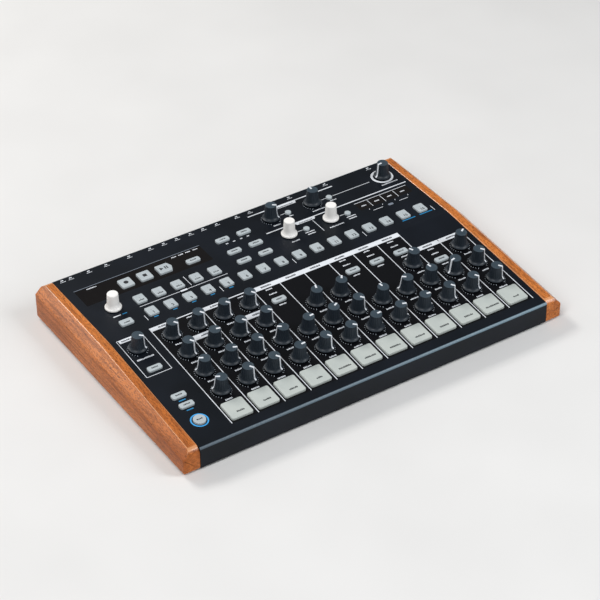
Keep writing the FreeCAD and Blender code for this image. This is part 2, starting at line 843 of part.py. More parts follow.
def switch_frame():
    """The fixed frame of the power switch, with the well its rocker swings in."""
    inner_width = switch_frame_width - 2 * switch_lip
    inner_height = switch_frame_height - 2 * switch_lip
    lip = back_box(switch_frame_width, switch_frame_height, switch_lip_thickness, power_switch_x,
                   power_switch_z, -switch_lip_thickness)
    body = back_box(inner_width, inner_height, switch_body_depth + wall_back, power_switch_x, power_switch_z)
    well = back_box(switch_well_width, switch_well_height, switch_body_depth, power_switch_x, power_switch_z,
                    -switch_lip_thickness)
    pin_bore = Part.makeCylinder(rocker_pin_radius + shaft_running_fit, switch_well_width + 2 * pivot_seat,
                                 rocker_pivot() - V(switch_well_width / 2 + pivot_seat, 0, 0), V(1, 0, 0))
    return lip.fuse(body).cut(well).cut(pin_bore)


def rocker_pivot():
    """The middle of the rocker's pivot pin."""
    return V(power_switch_x, case_half_depth - rocker_pivot_depth, foot_height + power_switch_z)


def power_switch():
    """The rocker of the power switch on its pivot pin, at rest in its off position."""
    half_height = switch_well_height / 2 - rocker_side_gap
    half_keel = half_height / 2
    width = switch_well_width - 2 * slot_gap
    middle = rocker_pivot_depth + rocker_rise
    lift = half_height * math.tan(math.radians(rocker_swing))
    keel = 2 * rocker_pin_radius
    points = [V(0, middle + lift, half_height), V(0, middle, 0), V(0, middle + lift, -half_height),
              V(0, -keel, -half_keel), V(0, -keel, half_keel)]
    block = Part.Face(Part.makePolygon(points + points[:1])).extrude(V(width, 0, 0))
    block.translate(V(-width / 2, 0, 0))
    pin_length = switch_well_width + 2 * (pivot_seat - slot_gap)
    pin = Part.makeCylinder(rocker_pin_radius, pin_length, V(-pin_length / 2, 0, 0), V(1, 0, 0))
    rocker = block.fuse(pin)
    rocker.rotate(V(0, 0, 0), V(1, 0, 0), -rocker_swing)
    rocker.translate(rocker_pivot())
    return rocker


def rear_sockets():
    """Every socket along the back."""
    pieces = [jack(mini_body_side, mini_body_depth, mini_nose_radius, mini_bore_radius, mini_bore_length, x, z)
              for x, z in mini_jack_sites()]
    pieces += [jack(big_body_side, big_body_depth, big_nose_radius, big_bore_radius, big_bore_length, x,
                    big_jack_z) for x in big_jack_x]
    pieces += [din_socket(x) for x in din_x]
    pieces += [usb_socket(), power_inlet(), switch_frame()]
    return Part.makeCompound(pieces)


def socket_cutters():
    """The openings in the rear wall, one round each socket."""
    deep = 3 * sheet
    cutters = [back_cylinder(mini_nose_radius + slot_gap, deep, x, z, -sheet)
               for x, z in mini_jack_sites()]
    cutters += [back_cylinder(big_nose_radius + slot_gap, deep, x, big_jack_z, -sheet) for x in big_jack_x]
    cutters += [back_cylinder(din_radius + 1 + slot_gap, deep, x, din_z, -sheet) for x in din_x]
    cutters.append(back_cylinder(inlet_nose_radius + slot_gap, deep, inlet_x, inlet_z, -sheet))
    around = 2 * slot_gap
    cutters.append(back_box(usb_width + around, usb_height + around, deep, usb_x, usb_z, -sheet))
    cutters.append(back_box(switch_frame_width - 2 * switch_lip + around,
                            switch_frame_height - 2 * switch_lip + around, deep,
                            power_switch_x, power_switch_z, -sheet))
    return cutters


def build():
    """Builds and writes every sub-part."""
    os.makedirs("parts", exist_ok=True)
    knobs = knob_sites()
    buttons = button_sites()
    export(top_panel(knobs, buttons), "top_panel")
    export(base_pan(), "base_pan")
    export(cheek(-1), "left_cheek")
    export(cheek(1), "right_cheek")
    export(rubber_feet(), "rubber_feet")
    export(case_screws(), "case_screws")
    export(circuit_boards(), "circuit_boards")
    export(pots_and_switches(knobs, buttons), "pots_and_switches")
    export(rear_sockets(), "rear_sockets")
    export(display_and_touch_strip(buttons), "display_and_touch_strip")
    export(power_switch(), "power_switch")
    for group in ("step_buttons", "transport_and_mode_buttons", "pattern_and_filter_buttons",
                  "voice_buttons", "start_button", "drum_pads"):
        export(button_group(group, buttons), group)
    dark = dark_knob()
    white = encoder_knob()
    for name, x, y, angle in knobs:
        if angle is None:
            export(placed(white, seat(x, y)), name)
        else:
            turn = FreeCAD.Placement(V(0, 0, 0), FreeCAD.Rotation(V(0, 0, 1), angle))
            export(placed(dark, seat(x, y).multiply(turn)), name)


if __name__ == "__main__":
    build()
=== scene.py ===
# %% [markdown]
# A desktop drum machine: a folded steel case between two wooden cheeks, with pads, keys and rows of knobs.
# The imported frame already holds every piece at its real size. This lesson dresses it: smooth caps and knobs
# as numpy surfaces, printing as thin slabs of ink, and a procedural finish on each piece.

# %% Load the frame
import json
import math
import bpy
import numpy as np
from mathutils import Euler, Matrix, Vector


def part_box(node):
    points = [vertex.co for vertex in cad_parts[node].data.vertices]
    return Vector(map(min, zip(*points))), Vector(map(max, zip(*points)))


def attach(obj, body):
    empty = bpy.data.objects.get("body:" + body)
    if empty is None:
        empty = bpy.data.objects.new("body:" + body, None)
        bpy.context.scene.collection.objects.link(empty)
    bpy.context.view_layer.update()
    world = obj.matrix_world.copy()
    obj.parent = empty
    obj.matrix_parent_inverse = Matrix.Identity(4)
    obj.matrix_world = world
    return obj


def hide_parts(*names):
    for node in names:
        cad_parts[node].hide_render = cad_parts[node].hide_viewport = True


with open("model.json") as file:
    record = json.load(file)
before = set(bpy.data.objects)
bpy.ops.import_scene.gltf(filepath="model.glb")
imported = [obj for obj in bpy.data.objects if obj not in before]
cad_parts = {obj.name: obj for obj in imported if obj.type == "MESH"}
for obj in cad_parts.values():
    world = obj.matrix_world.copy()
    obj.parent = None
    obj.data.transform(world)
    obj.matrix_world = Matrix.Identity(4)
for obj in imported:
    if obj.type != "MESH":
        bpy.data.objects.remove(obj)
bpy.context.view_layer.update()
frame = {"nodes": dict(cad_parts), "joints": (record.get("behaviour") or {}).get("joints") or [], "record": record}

# %% [markdown]
# The layout is easier to read in millimetres, and the scene is in metres, so one factor turns one into the
# other. The panel's layout is measured from the middle of the case. Each knob's joint says where its shaft
# leaves the panel and how the panel leans there, so the two planes of the panel come from two joints.

# %% Units and the two planes of the panel
MM = 0.001
joints = {j["child"]: j for j in frame["joints"]}
case_low, case_high = (np.array(c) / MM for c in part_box("top_panel"))
case_middle_y = (case_low[1] + case_high[1]) / 2


def joint_place(body):
    """The joint of a body: its point in millimetres and its unit axis."""
    joint = joints[body]
    return np.array(joint["pos_m"]) / MM, np.array(joint["axis"], float)


front_point, front_normal = joint_place("knob_kick1_level")
rear_point, _ = joint_place("knob_master_volume")
panel_slope = -front_normal[1] / front_normal[2]
panel_top = rear_point[2]
crease_y = front_point[1] + (panel_top - front_point[2]) / panel_slope - case_middle_y
slope_angle = math.atan(panel_slope)


def panel_point(x, y, height=0.0):
    """Panel coordinates to the frame: z is the level plane less the slope times the distance before the
    crease, and height is measured square to the panel."""
    x, y, height = np.broadcast_arrays(np.asarray(x, float), np.asarray(y, float), np.asarray(height, float))
    sloping = y < crease_y
    drop = np.where(sloping, crease_y - y, 0.0) * panel_slope
    lean = np.where(sloping, slope_angle, 0.0)
    return np.stack([x, y + case_middle_y - height * np.sin(lean),
                     panel_top - drop + height * np.cos(lean)], -1)


print("panel slope %.2f deg, crease at y = %.1f mm" % (math.degrees(slope_angle), crease_y))

# %% [markdown]
# The camera stands to the left of the front, well above, with a long lens, so the case keeps nearly
# parallel sides. Its place was worked out from the regular grid of columns, with the image taken as 600 by
# 600.

# %% Camera
camera_place = (-1060.98, -1624.56, 1490.59)
camera_turn = (52.927, 0.0, -33.201)
lens_millimetres = 133.10

camera_data = bpy.data.cameras.new("camera")
camera_data.lens = lens_millimetres
camera_data.sensor_width = 36.0
camera_data.clip_end = 20.0
camera = bpy.data.objects.new("camera", camera_data)
camera.location = [c * MM for c in camera_place]
camera.rotation_euler = Euler([math.radians(a) for a in camera_turn])
bpy.context.scene.collection.objects.link(camera)
bpy.context.scene.camera = camera

# %% [markdown]
# A finish is a small tree of shader nodes. Writing `1 - mask * 0.4` is easier to read than wiring Math
# nodes, so one class wraps a socket and lets Python's own signs add the nodes. Everything else goes through
# one method that takes a node's type, its settings and the values or links of its sockets.

# %% Shader maths as expressions
class Wire:
    """An output socket that can be added, multiplied and so on."""

    def __init__(self, finish, socket):
        self.finish = finish
        self.socket = socket

    def math(self, operation, *others):
        """A Math node that takes this value first."""
        return self.finish.node("ShaderNodeMath", {"operation": operation}, dict(enumerate((self,) + others)))

    def __add__(self, other):
        return self.math("ADD", other)

    __radd__ = __add__

    def __sub__(self, other):
        return self.math("SUBTRACT", other)

    def __rsub__(self, other):
        return self.finish.node("ShaderNodeMath", {"operation": "SUBTRACT"}, {0: other, 1: self})

    def __mul__(self, other):
        return self.math("MULTIPLY", other)

    __rmul__ = __mul__

    def __truediv__(self, other):
        return self.math("DIVIDE", other)

    def above(self, other):
        """1 where this is more than the other."""
        return self.math("GREATER_THAN", other)

    def below(self, other):
        """1 where this is less than the other."""
        return self.math("LESS_THAN", other)

    def ramp(self, low, high, start=0.0, end=1.0):
        """A straight ramp: start at low, end at high, and held outside them."""
        limits = {"From Min": low, "From Max": high, "To Min": start, "To Max": end}
        return self.finish.node("ShaderNodeMapRange", {"clamp": True}, {"Value": self, **limits})


class Finish:
    """One material and its node tree."""

    def __init__(self, name, roughness=0.5, metallic=0.0, coat_roughness=0.2, coat_ior=1.5, specular=0.5):
        self.material = bpy.data.materials.new(name)
        self.material.use_nodes = True
        self.tree = self.material.node_tree
        self.shader = self.tree.nodes["Principled BSDF"]
        constants = {"Roughness": roughness, "Metallic": metallic, "Coat Roughness": coat_roughness,
                     "Coat IOR": coat_ior, "Specular IOR Level": specular}
        for socket, value in constants.items():
            self.shader.inputs[socket].default_value = value
        self.place = self.node("ShaderNodeTexCoord", {}, {}, "Object")

    def node(self, kind, settings, sockets, output=0):
        """Adds a node of a kind, sets its settings first, then its sockets, and returns one output."""
        made = self.tree.nodes.new(kind)
        for name, value in settings.items():
            setattr(made, name, value)
        for name, value in sockets.items():
            if isinstance(value, Wire):
                self.tree.links.new(value.socket, made.inputs[name])
            else:
                made.inputs[name].default_value = value
        return Wire(self, made.outputs[output])

    def noise(self, scale, detail=3.0, stretch=(1, 1, 1), roughness=0.5, distortion=0.0):
        """Noise on the piece's own coordinates, with its features a metre and a stretch for each axis."""
        place = self.node("ShaderNodeMapping", {}, {"Vector": self.place, "Scale": stretch})
        return self.node("ShaderNodeTexNoise", {}, {"Vector": place, "Scale": scale, "Detail": detail,
                                                    "Roughness": roughness, "Distortion": distortion})

    def axis(self, name):
        """One coordinate of the piece, in metres."""
        return self.node("ShaderNodeSeparateXYZ", {}, {"Vector": self.place}, name)

    def upward(self):
        """The z of the surface's unit normal: 1 where it is level, 0 on a wall."""
        normal = self.node("ShaderNodeNewGeometry", {}, {}, "Normal")
        return self.node("ShaderNodeSeparateXYZ", {}, {"Vector": normal}, "Z")

    def blend(self, first, second, share):
        """A colour between two, by a share from 0 to 1."""
        return self.node("ShaderNodeMix", {"data_type": "RGBA"}, {"Factor": share, 6: first, 7: second}, 2)

    def link(self, socket, value):
        """Feeds one socket of the shader."""
        self.tree.links.new(value.socket, self.shader.inputs[socket])

    def colour(self, value):
        """Feeds the base colour."""
        self.link("Base Color", value)

    def bump(self, height, depth_mm, strength):
        """Turns a height field into the shader's normal, with its depth in millimetres."""
        sockets = {"Height": height, "Distance": depth_mm * MM, "Strength": strength}
        self.link("Normal", self.node("ShaderNodeBump", {}, sockets, "Normal"))


def srgb(red, green, blue):
    """A colour as it looks on screen, 0 to 255, as the linear values that shaders use: the inverse of the
    sRGB curve, which is a straight line near black and a power of 2.4 above it."""
    c = np.array([red, green, blue], float) / 255
    linear = np.where(c <= 0.04045, c / 12.92, ((c + 0.055) / 1.055) ** 2.4)
    return (*linear.tolist(), 1.0)


# %% [markdown]
# The case is steel with a satin powder coat. Powder coat has a very fine orange-peel surface and hardly any
# change of colour, so the bump does most of the work, and two near-blacks drift into each other slowly. The
# field of the voice columns is a shade deeper, as the printed ground there is black. The folds carry a painted
# highlight: a paler colour where the surface's normal is neither straight up nor level, painted brighter
# towards the right, where the light falls on them. They also take a coat, so they shine more than the flats.

# %% Powder coat
field_left, field_right = -174.0, 213.0
field_front, field_rear = -142.5, 25.3
short_columns_left, short_columns_rear = 148.5, -7.5
fold_highlight_reach = 220


def powder_coat():
    """Two near-blacks by a slow drift, a deeper one in the field of the columns, and a painted highlight where
    the normal's z lies between a wall's and a flat's, paler towards the right."""
    finish = Finish("case_paint_satin", roughness=0.4, coat_roughness=0.5, coat_ior=1.73, specular=0.19)
    drift = finish.noise(18, 2)
    grain = finish.noise(1600, 2)
    ground = finish.blend(srgb(12, 17, 23), srgb(18, 23, 31), drift.ramp(0.35, 0.65))
    x, y = finish.axis("X") / MM, finish.axis("Y") / MM - case_middle_y
    field = x.above(field_left) * x.below(field_right) * y.above(field_front) * y.below(field_rear)
    field = field * (1 - x.above(short_columns_left) * y.above(short_columns_rear))
    upward = finish.upward()
    fold = upward.ramp(0.10, 0.25) * upward.ramp(0.97, 0.90)
    flats = finish.blend(ground, srgb(8, 9, 13), field * upward.above(0.9))
    # Painted highlight on the folds: a paler blue-grey, brighter towards the right, as the light falls there.
    fold_highlight_paint = finish.blend(srgb(52, 72, 86), srgb(90, 120, 136), x.ramp(-fold_highlight_reach, fold_highlight_reach))
    finish.colour(finish.blend(flats, fold_highlight_paint, fold))
    finish.link("Roughness", grain.ramp(0.3, 0.7, 0.36, 0.46))
    finish.link("Coat Weight", fold)
    finish.bump(grain, 0.02, 0.4)
    return finish.material


case_paint = powder_coat()

# %% [markdown]
# The cheeks are an open-grained orange-brown hardwood with an oiled face. Wood needs three scales: broad
# bands of growth with a darker figure, fine streaks drawn out along the board, and short dark pores. All of
# them are noise stretched along the length of the cheek, which is the Y axis. The crease between the top and
# the bevel has a painted highlight, a paler colour, and a stronger coat; the bevel has a sheen from its coat.

# %% Oiled wood
def oiled_wood():
    """Four noises laid over each other, each a colour blended in by its share, and two masks from the
    normal's z: one for the crease, where it is between the top's and the bevel's, and one for the bevel."""
    finish = Finish("cheek_wood_oiled", roughness=0.45, coat_roughness=0.24, coat_ior=1.6, specular=0.16)
    bands = finish.noise(26, 3, (1.0, 0.10, 1.0), distortion=0.6)
    streaks = finish.noise(290, 4, (1.0, 0.05, 1.0), 0.65)
    figure = finish.noise(70, 2, (1.0, 0.04, 1.0), distortion=0.8)
    pores = finish.noise(1750, 2, (1.0, 0.13, 1.0), 0.5)
    pale = finish.blend(srgb(217, 130, 63), srgb(184, 103, 47), bands.ramp(0.35, 0.62))
    streaked = finish.blend(pale, srgb(140, 76, 34), streaks.ramp(0.44, 0.66) * 0.8)
    figured = finish.blend(streaked, srgb(138, 72, 36), figure.ramp(0.56, 0.70) * 0.45)
    grained = finish.blend(figured, srgb(86, 47, 25), pores.ramp(0.52, 0.62) * 0.7)
    upward = finish.upward()
    crease = upward.ramp(0.74, 0.80) * upward.ramp(0.995, 0.96)
    # A painted highlight along the crease: a pale colour blended in by half the crease mask.
    finish.colour(finish.blend(grained, srgb(247, 183, 129), crease * 0.5))
    bevel = upward.ramp(0.55, 0.65) * upward.ramp(0.80, 0.75)
    finish.link("Coat Weight", crease * 0.85 + bevel * 0.5 + 0.1)
    finish.link("Roughness", streaks.ramp(0.3, 0.7, 0.36, 0.52))
    finish.bump(pores.ramp(0.55, 0.72) * -1.0 + streaks * 0.3, 0.05, 0.5)
    return finish.material


cheek_wood = oiled_wood()

# %% [markdown]
# Moulded plastics share one recipe: a base colour that drifts slightly, a fine spark-eroded texture and a
# roughness that follows it. Only the numbers differ between knobs, caps, pads, sockets and circuit boards,
# and screws and nuts take the same recipe as metals.

# %% Moulded plastics, rubbers and metals
def moulded(name, first, second, roughness, grain_scale=1400, depth_mm=0.02, drift_scale=60, **shader):
    """A colour between two by a slow drift, and a roughness and a bump that both follow a fine grain."""
    finish = Finish(name, roughness=roughness, **shader)
    drift = finish.noise(drift_scale, 3)
    grain = finish.noise(grain_scale, 2)
    finish.colour(finish.blend(first, second, drift.ramp(0.3, 0.7)))
    finish.link("Roughness", grain.ramp(0.3, 0.7, roughness - 0.05, roughness + 0.06))
    finish.bump(grain, depth_mm, 0.5)
    return finish.material


knob_plastic = moulded("knob_plastic_dark", srgb(26, 35, 43), srgb(34, 43, 52), 0.44, specular=0.43)
knob_cap = moulded("knob_cap_paler", srgb(49, 63, 73), srgb(57, 71, 81), 0.5, specular=0.4)
encoder_plastic = moulded("encoder_plastic_white", srgb(246, 244, 240), srgb(250, 248, 245), 0.4)
key_plastic = moulded("key_plastic_pale", srgb(175, 184, 188), srgb(184, 192, 195), 0.5)
pad_rubber = moulded("pad_rubber_cream", srgb(183, 190, 186), srgb(191, 197, 192), 0.6, depth_mm=0.03)
socket_plastic = moulded("socket_plastic_black", srgb(29, 30, 32), srgb(39, 40, 43), 0.45)
control_bodies = moulded("control_bodies_grey", srgb(49, 51, 54), srgb(68, 70, 73), 0.5)
foot_rubber = moulded("foot_rubber_black", srgb(29, 29, 30), srgb(40, 40, 42), 0.8, 900, 0.05)
board_laminate = moulded("board_laminate_green", srgb(29, 86, 59), srgb(38, 104, 72), 0.4, 700, 0.01, 300)
screw_steel = moulded("screw_steel_black", srgb(93, 95, 97), srgb(120, 122, 124), 0.35, 1800, metallic=1.0)
nut_nickel = moulded("nut_nickel", srgb(192, 192, 190), srgb(217, 217, 214), 0.3, 2200, metallic=1.0)

# %% [markdown]
# The window behind the transport keys is smoked and glossy, with a slight brown cast, and shows soft
# reflections. A very slight waviness keeps them from looking computed. The touch strip is of the same film.

# %% Smoked window
def smoked_window():
    """A near-black that drifts with a slow wave, which is also its bump, and a roughness from smears."""
    finish = Finish("smoked_window_gloss", roughness=0.14, specular=0.38)
    wave = finish.noise(22, 1)
    smear = finish.noise(140, 4)
    finish.colour(finish.blend(srgb(9, 5, 4), srgb(14, 9, 7), wave.ramp(0.3, 0.7)))
    finish.link("Roughness", smear.ramp(0.35, 0.75, 0.10, 0.22))
    finish.bump(wave, 0.05, 0.3)
    return finish.material


window_gloss = smoked_window()

# %% [markdown]
# Printing ink on powder coat is nearly matt and follows the coat's texture a little, so pale ink isn't one
# flat value: it thins out in tiny specks where the coat's grain stands proud.

# %% Inks
def ink(name, colour, thin, roughness=0.5):
    """The ink's colour, blended towards a thinner one by fine specks and a little by broad patches."""
    finish = Finish(name, roughness=roughness)
    specks = finish.noise(2600, 2)
    cover = finish.noise(120, 2)
    finish.colour(finish.blend(colour, thin, specks.ramp(0.62, 0.8) * 0.5 + cover.ramp(0.4, 0.8) * 0.2))
    finish.link("Roughness", specks.ramp(0.3, 0.7, roughness - 0.06, roughness + 0.08))
    finish.bump(specks, 0.01, 0.3)
    return finish.material


white_ink = ink("ink_white", srgb(231, 235, 240), srgb(177, 186, 197))
grey_ink = ink("ink_grey_blue", srgb(124, 133, 145), srgb(86, 95, 106))
scale_ink = ink("ink_scale_grey", srgb(192, 201, 210), srgb(138, 147, 158))
blue_ink = ink("ink_blue", srgb(31, 129, 181), srgb(25, 99, 140))
ring_ink = ink("ink_bright_blue", srgb(63, 168, 236), srgb(45, 133, 195))
dark_ink = ink("ink_dark", srgb(29, 31, 36), srgb(56, 61, 68))

# %% [markdown]
# Every new piece is a set of closed surfaces. A surface is a grid of points: rings stacked along one
# direction, each ring a closed loop. Quads join the rings, and one face closes the first ring and one the
# last. A surface that goes round and meets itself, like a washer, has no ends: its last ring joins the
# first.

# %% Closed surfaces from rings of points
def ring_faces(rings, around, first, meets_itself):
    """Faces of a stack of closed rings: quad (i, j) joins ring i to ring i + 1. Both ends are closed, unless
    the last ring joins the first."""
    i, j = np.meshgrid(np.arange(rings if meets_itself else rings - 1), np.arange(around), indexing="ij")
    k = (j + 1) % around
    after = (i + 1) % rings
    quads = np.stack([i * around + j, i * around + k, after * around + k, after * around + j], -1)
    quads = quads.reshape(-1, 4) + first
    if meets_itself:
        return quads.tolist()
    start = (np.arange(around)[::-1] + first).tolist()
    end = (np.arange(around) + (rings - 1) * around + first).tolist()
    return quads.tolist() + [start, end]


sharp_degrees = 38


def shells_mesh(name, shells):
    """One mesh from shells, each (rings by around by 3 points in millimetres, material index for each ring
    step). A single number gives the whole shell one material, and a third value says that it meets itself."""
    points, faces, slots = [], [], []
    count = 0
    for shell, slot, *meets in shells:
        rings, around = shell.shape[:2]
        points.append(shell.reshape(-1, 3))
        faces += ring_faces(rings, around, count, bool(meets))
        steps = np.broadcast_to(np.asarray(slot), (rings if meets else rings - 1,))
        slots.append(np.concatenate([np.repeat(steps, around), [] if meets else [steps[0], steps[-1]]]))
        count += rings * around
    mesh = bpy.data.meshes.new(name)
    mesh.from_pydata((np.concatenate(points) * MM).tolist(), [], faces)
    mesh.polygons.foreach_set("material_index", np.concatenate(slots).astype(np.int32))
    mesh.shade_smooth()
    mesh.set_sharp_from_angle(angle=math.radians(sharp_degrees))
    mesh.update()
    return mesh


def piece(name, shells, materials, body, replaces=None):
    """Makes an object of shells, gives it its finishes and fastens it to a body of the frame."""
    made = bpy.data.objects.new(name, shells_mesh(name, shells))
    bpy.context.scene.collection.objects.link(made)
    for material in materials:
        made.data.materials.append(material)
    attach(made, body)
    if replaces:
        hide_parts(replaces)


# %% [markdown]
# Caps, ink and cheeks all start from a flat outline with round corners. Moving every edge of a convex
# polygon inwards by the same amount keeps it the same polygon, with each corner on the bisector of its two
# edges. The round corner is an arc that starts on one edge's normal and ends on the next one's.

# %% Rounded outlines
def rounded_outline(corners, radius, inset=0.0, per_corner=6):
    """Points of a convex polygon with round corners, moved in by inset. With unit inward normals n and m of
    the two edges at a corner, the arc's centre is corner + (n + m) * r / (1 + n.m), and r shrinks with the
    inset so that the centre stays where it is."""
    corners = np.asarray(corners, float)
    edge = np.roll(corners, -1, 0) - corners
    inward = np.stack([-edge[:, 1], edge[:, 0]], -1) / np.linalg.norm(edge, axis=1)[:, None]
    before = np.roll(inward, 1, 0)
    reach = (before + inward) / (1 + (before * inward).sum(1))[:, None]
    left = max(radius - inset, 0.02)
    centre = corners + reach * (left + inset)
    start = np.arctan2(-before[:, 1], -before[:, 0])
    turn = np.arctan2(-inward[:, 1], -inward[:, 0]) - start
    turn = np.mod(turn + 0.001, 2 * np.pi) - 0.001
    angle = start[:, None] + turn[:, None] * np.linspace(0, 1, per_corner)
    arc = np.stack([np.cos(angle), np.sin(angle)], -1) * left
    return (centre[:, None, :] + arc).reshape(-1, 2)


def rectangle(width, depth):
    """Corners of a rectangle centred on the origin, anticlockwise."""
    w, d = width / 2, depth / 2
    return np.array([(w, -d), (w, d), (-w, d), (-w, -d)])


# %% [markdown]
# Each cheek is one board whose top follows the panel: level at the back, sloping from the crease, and
# rounded over at both ends. A flat bevel takes off the outer top edge, a little more of it towards the
# back. As a surface, it is a five-sided section carried along the board. Real boards have softened arrises,
# and those catch the light, so every corner of the section is an arc and the section draws in a little at
# both ends.

# %% Cheeks
cheek_proud = 0.4
cheek_bevel_front, cheek_bevel_rear = 8.8, 10.6
cheek_front_round = 8.0
cheek_rear_round = 6.5
arris = 1.2


def end_eased_path(start, end, ease, steps):
    """Places along a board and how far the section draws in there: y = ease (1 - cos a) and inset =
    ease (1 - sin a) over a quarter turn at each end, with no inset between. The steps are finer over the
    front round."""
    a = np.linspace(0, np.pi / 2, 6)
    along, drawn_in = ease * (1 - np.cos(a)), ease * (1 - np.sin(a))
    fine = np.linspace(0, 1, 13)[1:] * cheek_front_round
    middle = np.linspace(start + 1.6 * cheek_front_round, end - ease, steps)[:-1]
    y = np.concatenate([start + along, start + ease + fine, middle, end - along[::-1]])
    inset = np.concatenate([drawn_in, 0 * fine, 0 * middle, drawn_in[::-1]])
    return y, inset


def cheek_shell(node):
    """The section at y has its top at t(y), rounded near each end by a quarter circle of radius r:
    t = plain top - (r - sqrt(r^2 - (r - d)^2)), with d the distance from that end and at most r."""
    low, high = (np.array(c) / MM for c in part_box(node))
    inner, outer = sorted((low[0], high[0]), key=abs)
    side = math.copysign(1, outer)
    width = abs(outer - inner)
    y, inset = end_eased_path(low[1], high[1], arris, 90)
    plain = panel_point(0 * y, y - case_middle_y)[:, 2] + cheek_proud
    top = plain
    for distance, radius in ((y - low[1], cheek_front_round), (high[1] - y, cheek_rear_round)):
        d = np.clip(distance, 0, radius)
        top = top - (radius - np.sqrt(radius ** 2 - (radius - d) ** 2))
    bevel = np.interp(y, (low[1], high[1]), (cheek_bevel_front, cheek_bevel_rear))
    rings = []
    for place, t, p, draw, b in zip(y, top, plain, inset, bevel, strict=True):
        reach = min(width - b + (p - t), width - arris)
        section = [(0, low[2]), (width, low[2]), (width, p - b), (reach, t), (0, t)]
        flat = rounded_outline(section, arris + draw, draw, 5)
        rings.append(np.stack([inner + side * flat[:, 0], np.full(len(flat), place), flat[:, 1]], -1))
    shell = np.array(rings)
    return shell if side < 0 else shell[::-1]


for side in ("left", "right"):
    board = cheek_shell(side + "_cheek")
    piece(side + "_cheek_board", [(board, 0)], [cheek_wood], "case", side + "_cheek")
    print(side, "cheek: length %.1f mm, height %.1f mm" % (np.ptp(board[..., 1]), np.ptp(board[..., 2])))

# %% [markdown]
# A knob is a profile turned about its shaft. The dark ones have a thin rim, a skirt that sweeps in, a
# tapered grip with fine flutes and a paler cap. The flutes push the radius in with a rounded wave that
# fades at both ends of the grip. The pointer is a band that follows the same profile from near the middle
# of the cap to the rim.

# %% Knob profiles
def knob_profile(diameter, height, floor, rim, grip, crown, skirt_top, edge, flat_cap):
    """Radius and height along a knob's side, with a weight that says where the flutes are. The skirt is about
    r = grip + (rim - grip) (1 - t)^2 over t from 0 to 1, the edges of cap and rim are quarter turns, and the
    face of the cap is a shallow dish inside a narrow lip."""
    a = np.linspace(0, np.pi / 2, 5)
    outer, inner, top = diameter / 2, grip / 2, crown / 2
    soft = 0.3
    rim_r = outer - soft + soft * np.cos(a)
    rim_z = floor + rim - soft + soft * np.sin(a)
    t = np.linspace(0, 1, 12)[1:]
    skirt_r = inner + (outer - soft - inner) * (1 - t) ** 2.1
    skirt_z = floor + rim + (skirt_top - floor - rim) * t ** 1.15
    s = np.linspace(0, 1, 13)[1:]
    side_r = inner + (top - inner) * s
    side_z = skirt_top + (height - edge - skirt_top) * s
    cap_r = top - edge + edge * np.cos(a[1:])
    cap_z = height - edge + edge * np.sin(a[1:])
    centre_r = np.array([flat_cap, flat_cap - 0.25, 0.8 * flat_cap - 0.25, 0.3])
    centre_z = np.array([height, height - 0.18, height - 0.12, height - 0.1])
    r = np.concatenate([[outer - soft, outer], rim_r, skirt_r, side_r, cap_r, centre_r])
    z = np.concatenate([[floor, floor + soft], rim_z, skirt_z, side_z, cap_z, centre_z])
    fluted = np.zeros(len(r))
    first = 2 + len(rim_r) + len(skirt_r)
    last = first + len(s)
    fluted[first:last] = np.where(s > 0.5, 1.0, np.clip(2.5 * np.sin(1.02 * np.pi * s), 0, 1))
    fluted[last - 1] = 0.6
    return r, z, fluted


def turned_shell(r, z, fluted, flutes, depth, around):
    """Rings of a turned shape: radius r less depth times a rounded wave with that many flutes."""
    angle = np.linspace(0, 2 * np.pi, around, endpoint=False)
    wave = (0.5 - 0.5 * np.cos(flutes * angle)) ** 1.6 if flutes else 0 * angle
    radius = r[:, None] - depth * fluted[:, None] * wave[None, :]
    return np.stack([radius * np.cos(angle), radius * np.sin(angle), np.repeat(z[:, None], around, 1)], -1)


band_sunk = 0.5


def band_shell(r, z, width, rise):
    """A closed band along a profile, in the plane y = 0: each station has four corners, two above the surface
    by rise and two sunk below it, square to the profile. The sunk ones follow the round of the knob, which
    falls away by r - sqrt(r^2 - (width / 2)^2) at the band's edges."""
    step = np.stack([np.gradient(r), np.gradient(z)], -1)
    step /= np.linalg.norm(step, axis=1)[:, None]
    out = np.stack([step[:, 1], -step[:, 0]], -1)
    sag = r - np.sqrt(np.clip(r ** 2 - (width / 2) ** 2, 0, None))
    corners = []
    for side, lift in ((-1, rise), (1, rise), (1, -band_sunk), (-1, -band_sunk)):
        x = r + out[:, 0] * lift - sag * (lift < 0)
        corners.append(np.stack([x, np.full(len(r), side * width / 2), z + out[:, 1] * lift], -1))
    return np.stack(corners, 1)


def set_in_place(shell, body, angle_degrees):
    """Turns a shell about its own axis, leans that axis square to the panel and moves it to the joint: with
    unit vectors u, v and w, a point becomes x u + y v + z w + the joint's point."""
    point, axis = joint_place(body)
    a = math.radians(angle_degrees)
    across = np.array([1.0, 0.0, 0.0])
    along = np.cross(axis, across)
    local_x = math.cos(a) * across + math.sin(a) * along
    local_y = -math.sin(a) * across + math.cos(a) * along
    return shell @ np.stack([local_x, local_y, axis]) + point


# %% [markdown]
# Each knob's joint gives its range from where it stands, and the printed scale ends at 240 degrees, so the
# rest angle of the pointer is 240 degrees less the upper limit. Nothing about the settings is typed twice.

# %% Dark knobs
def knob_size(node):
    """Width across a knob's rim and its height above the panel, from a node on the level part."""
    low, high = (np.array(c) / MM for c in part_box(node))
    return high[0] - low[0], high[2] - panel_top


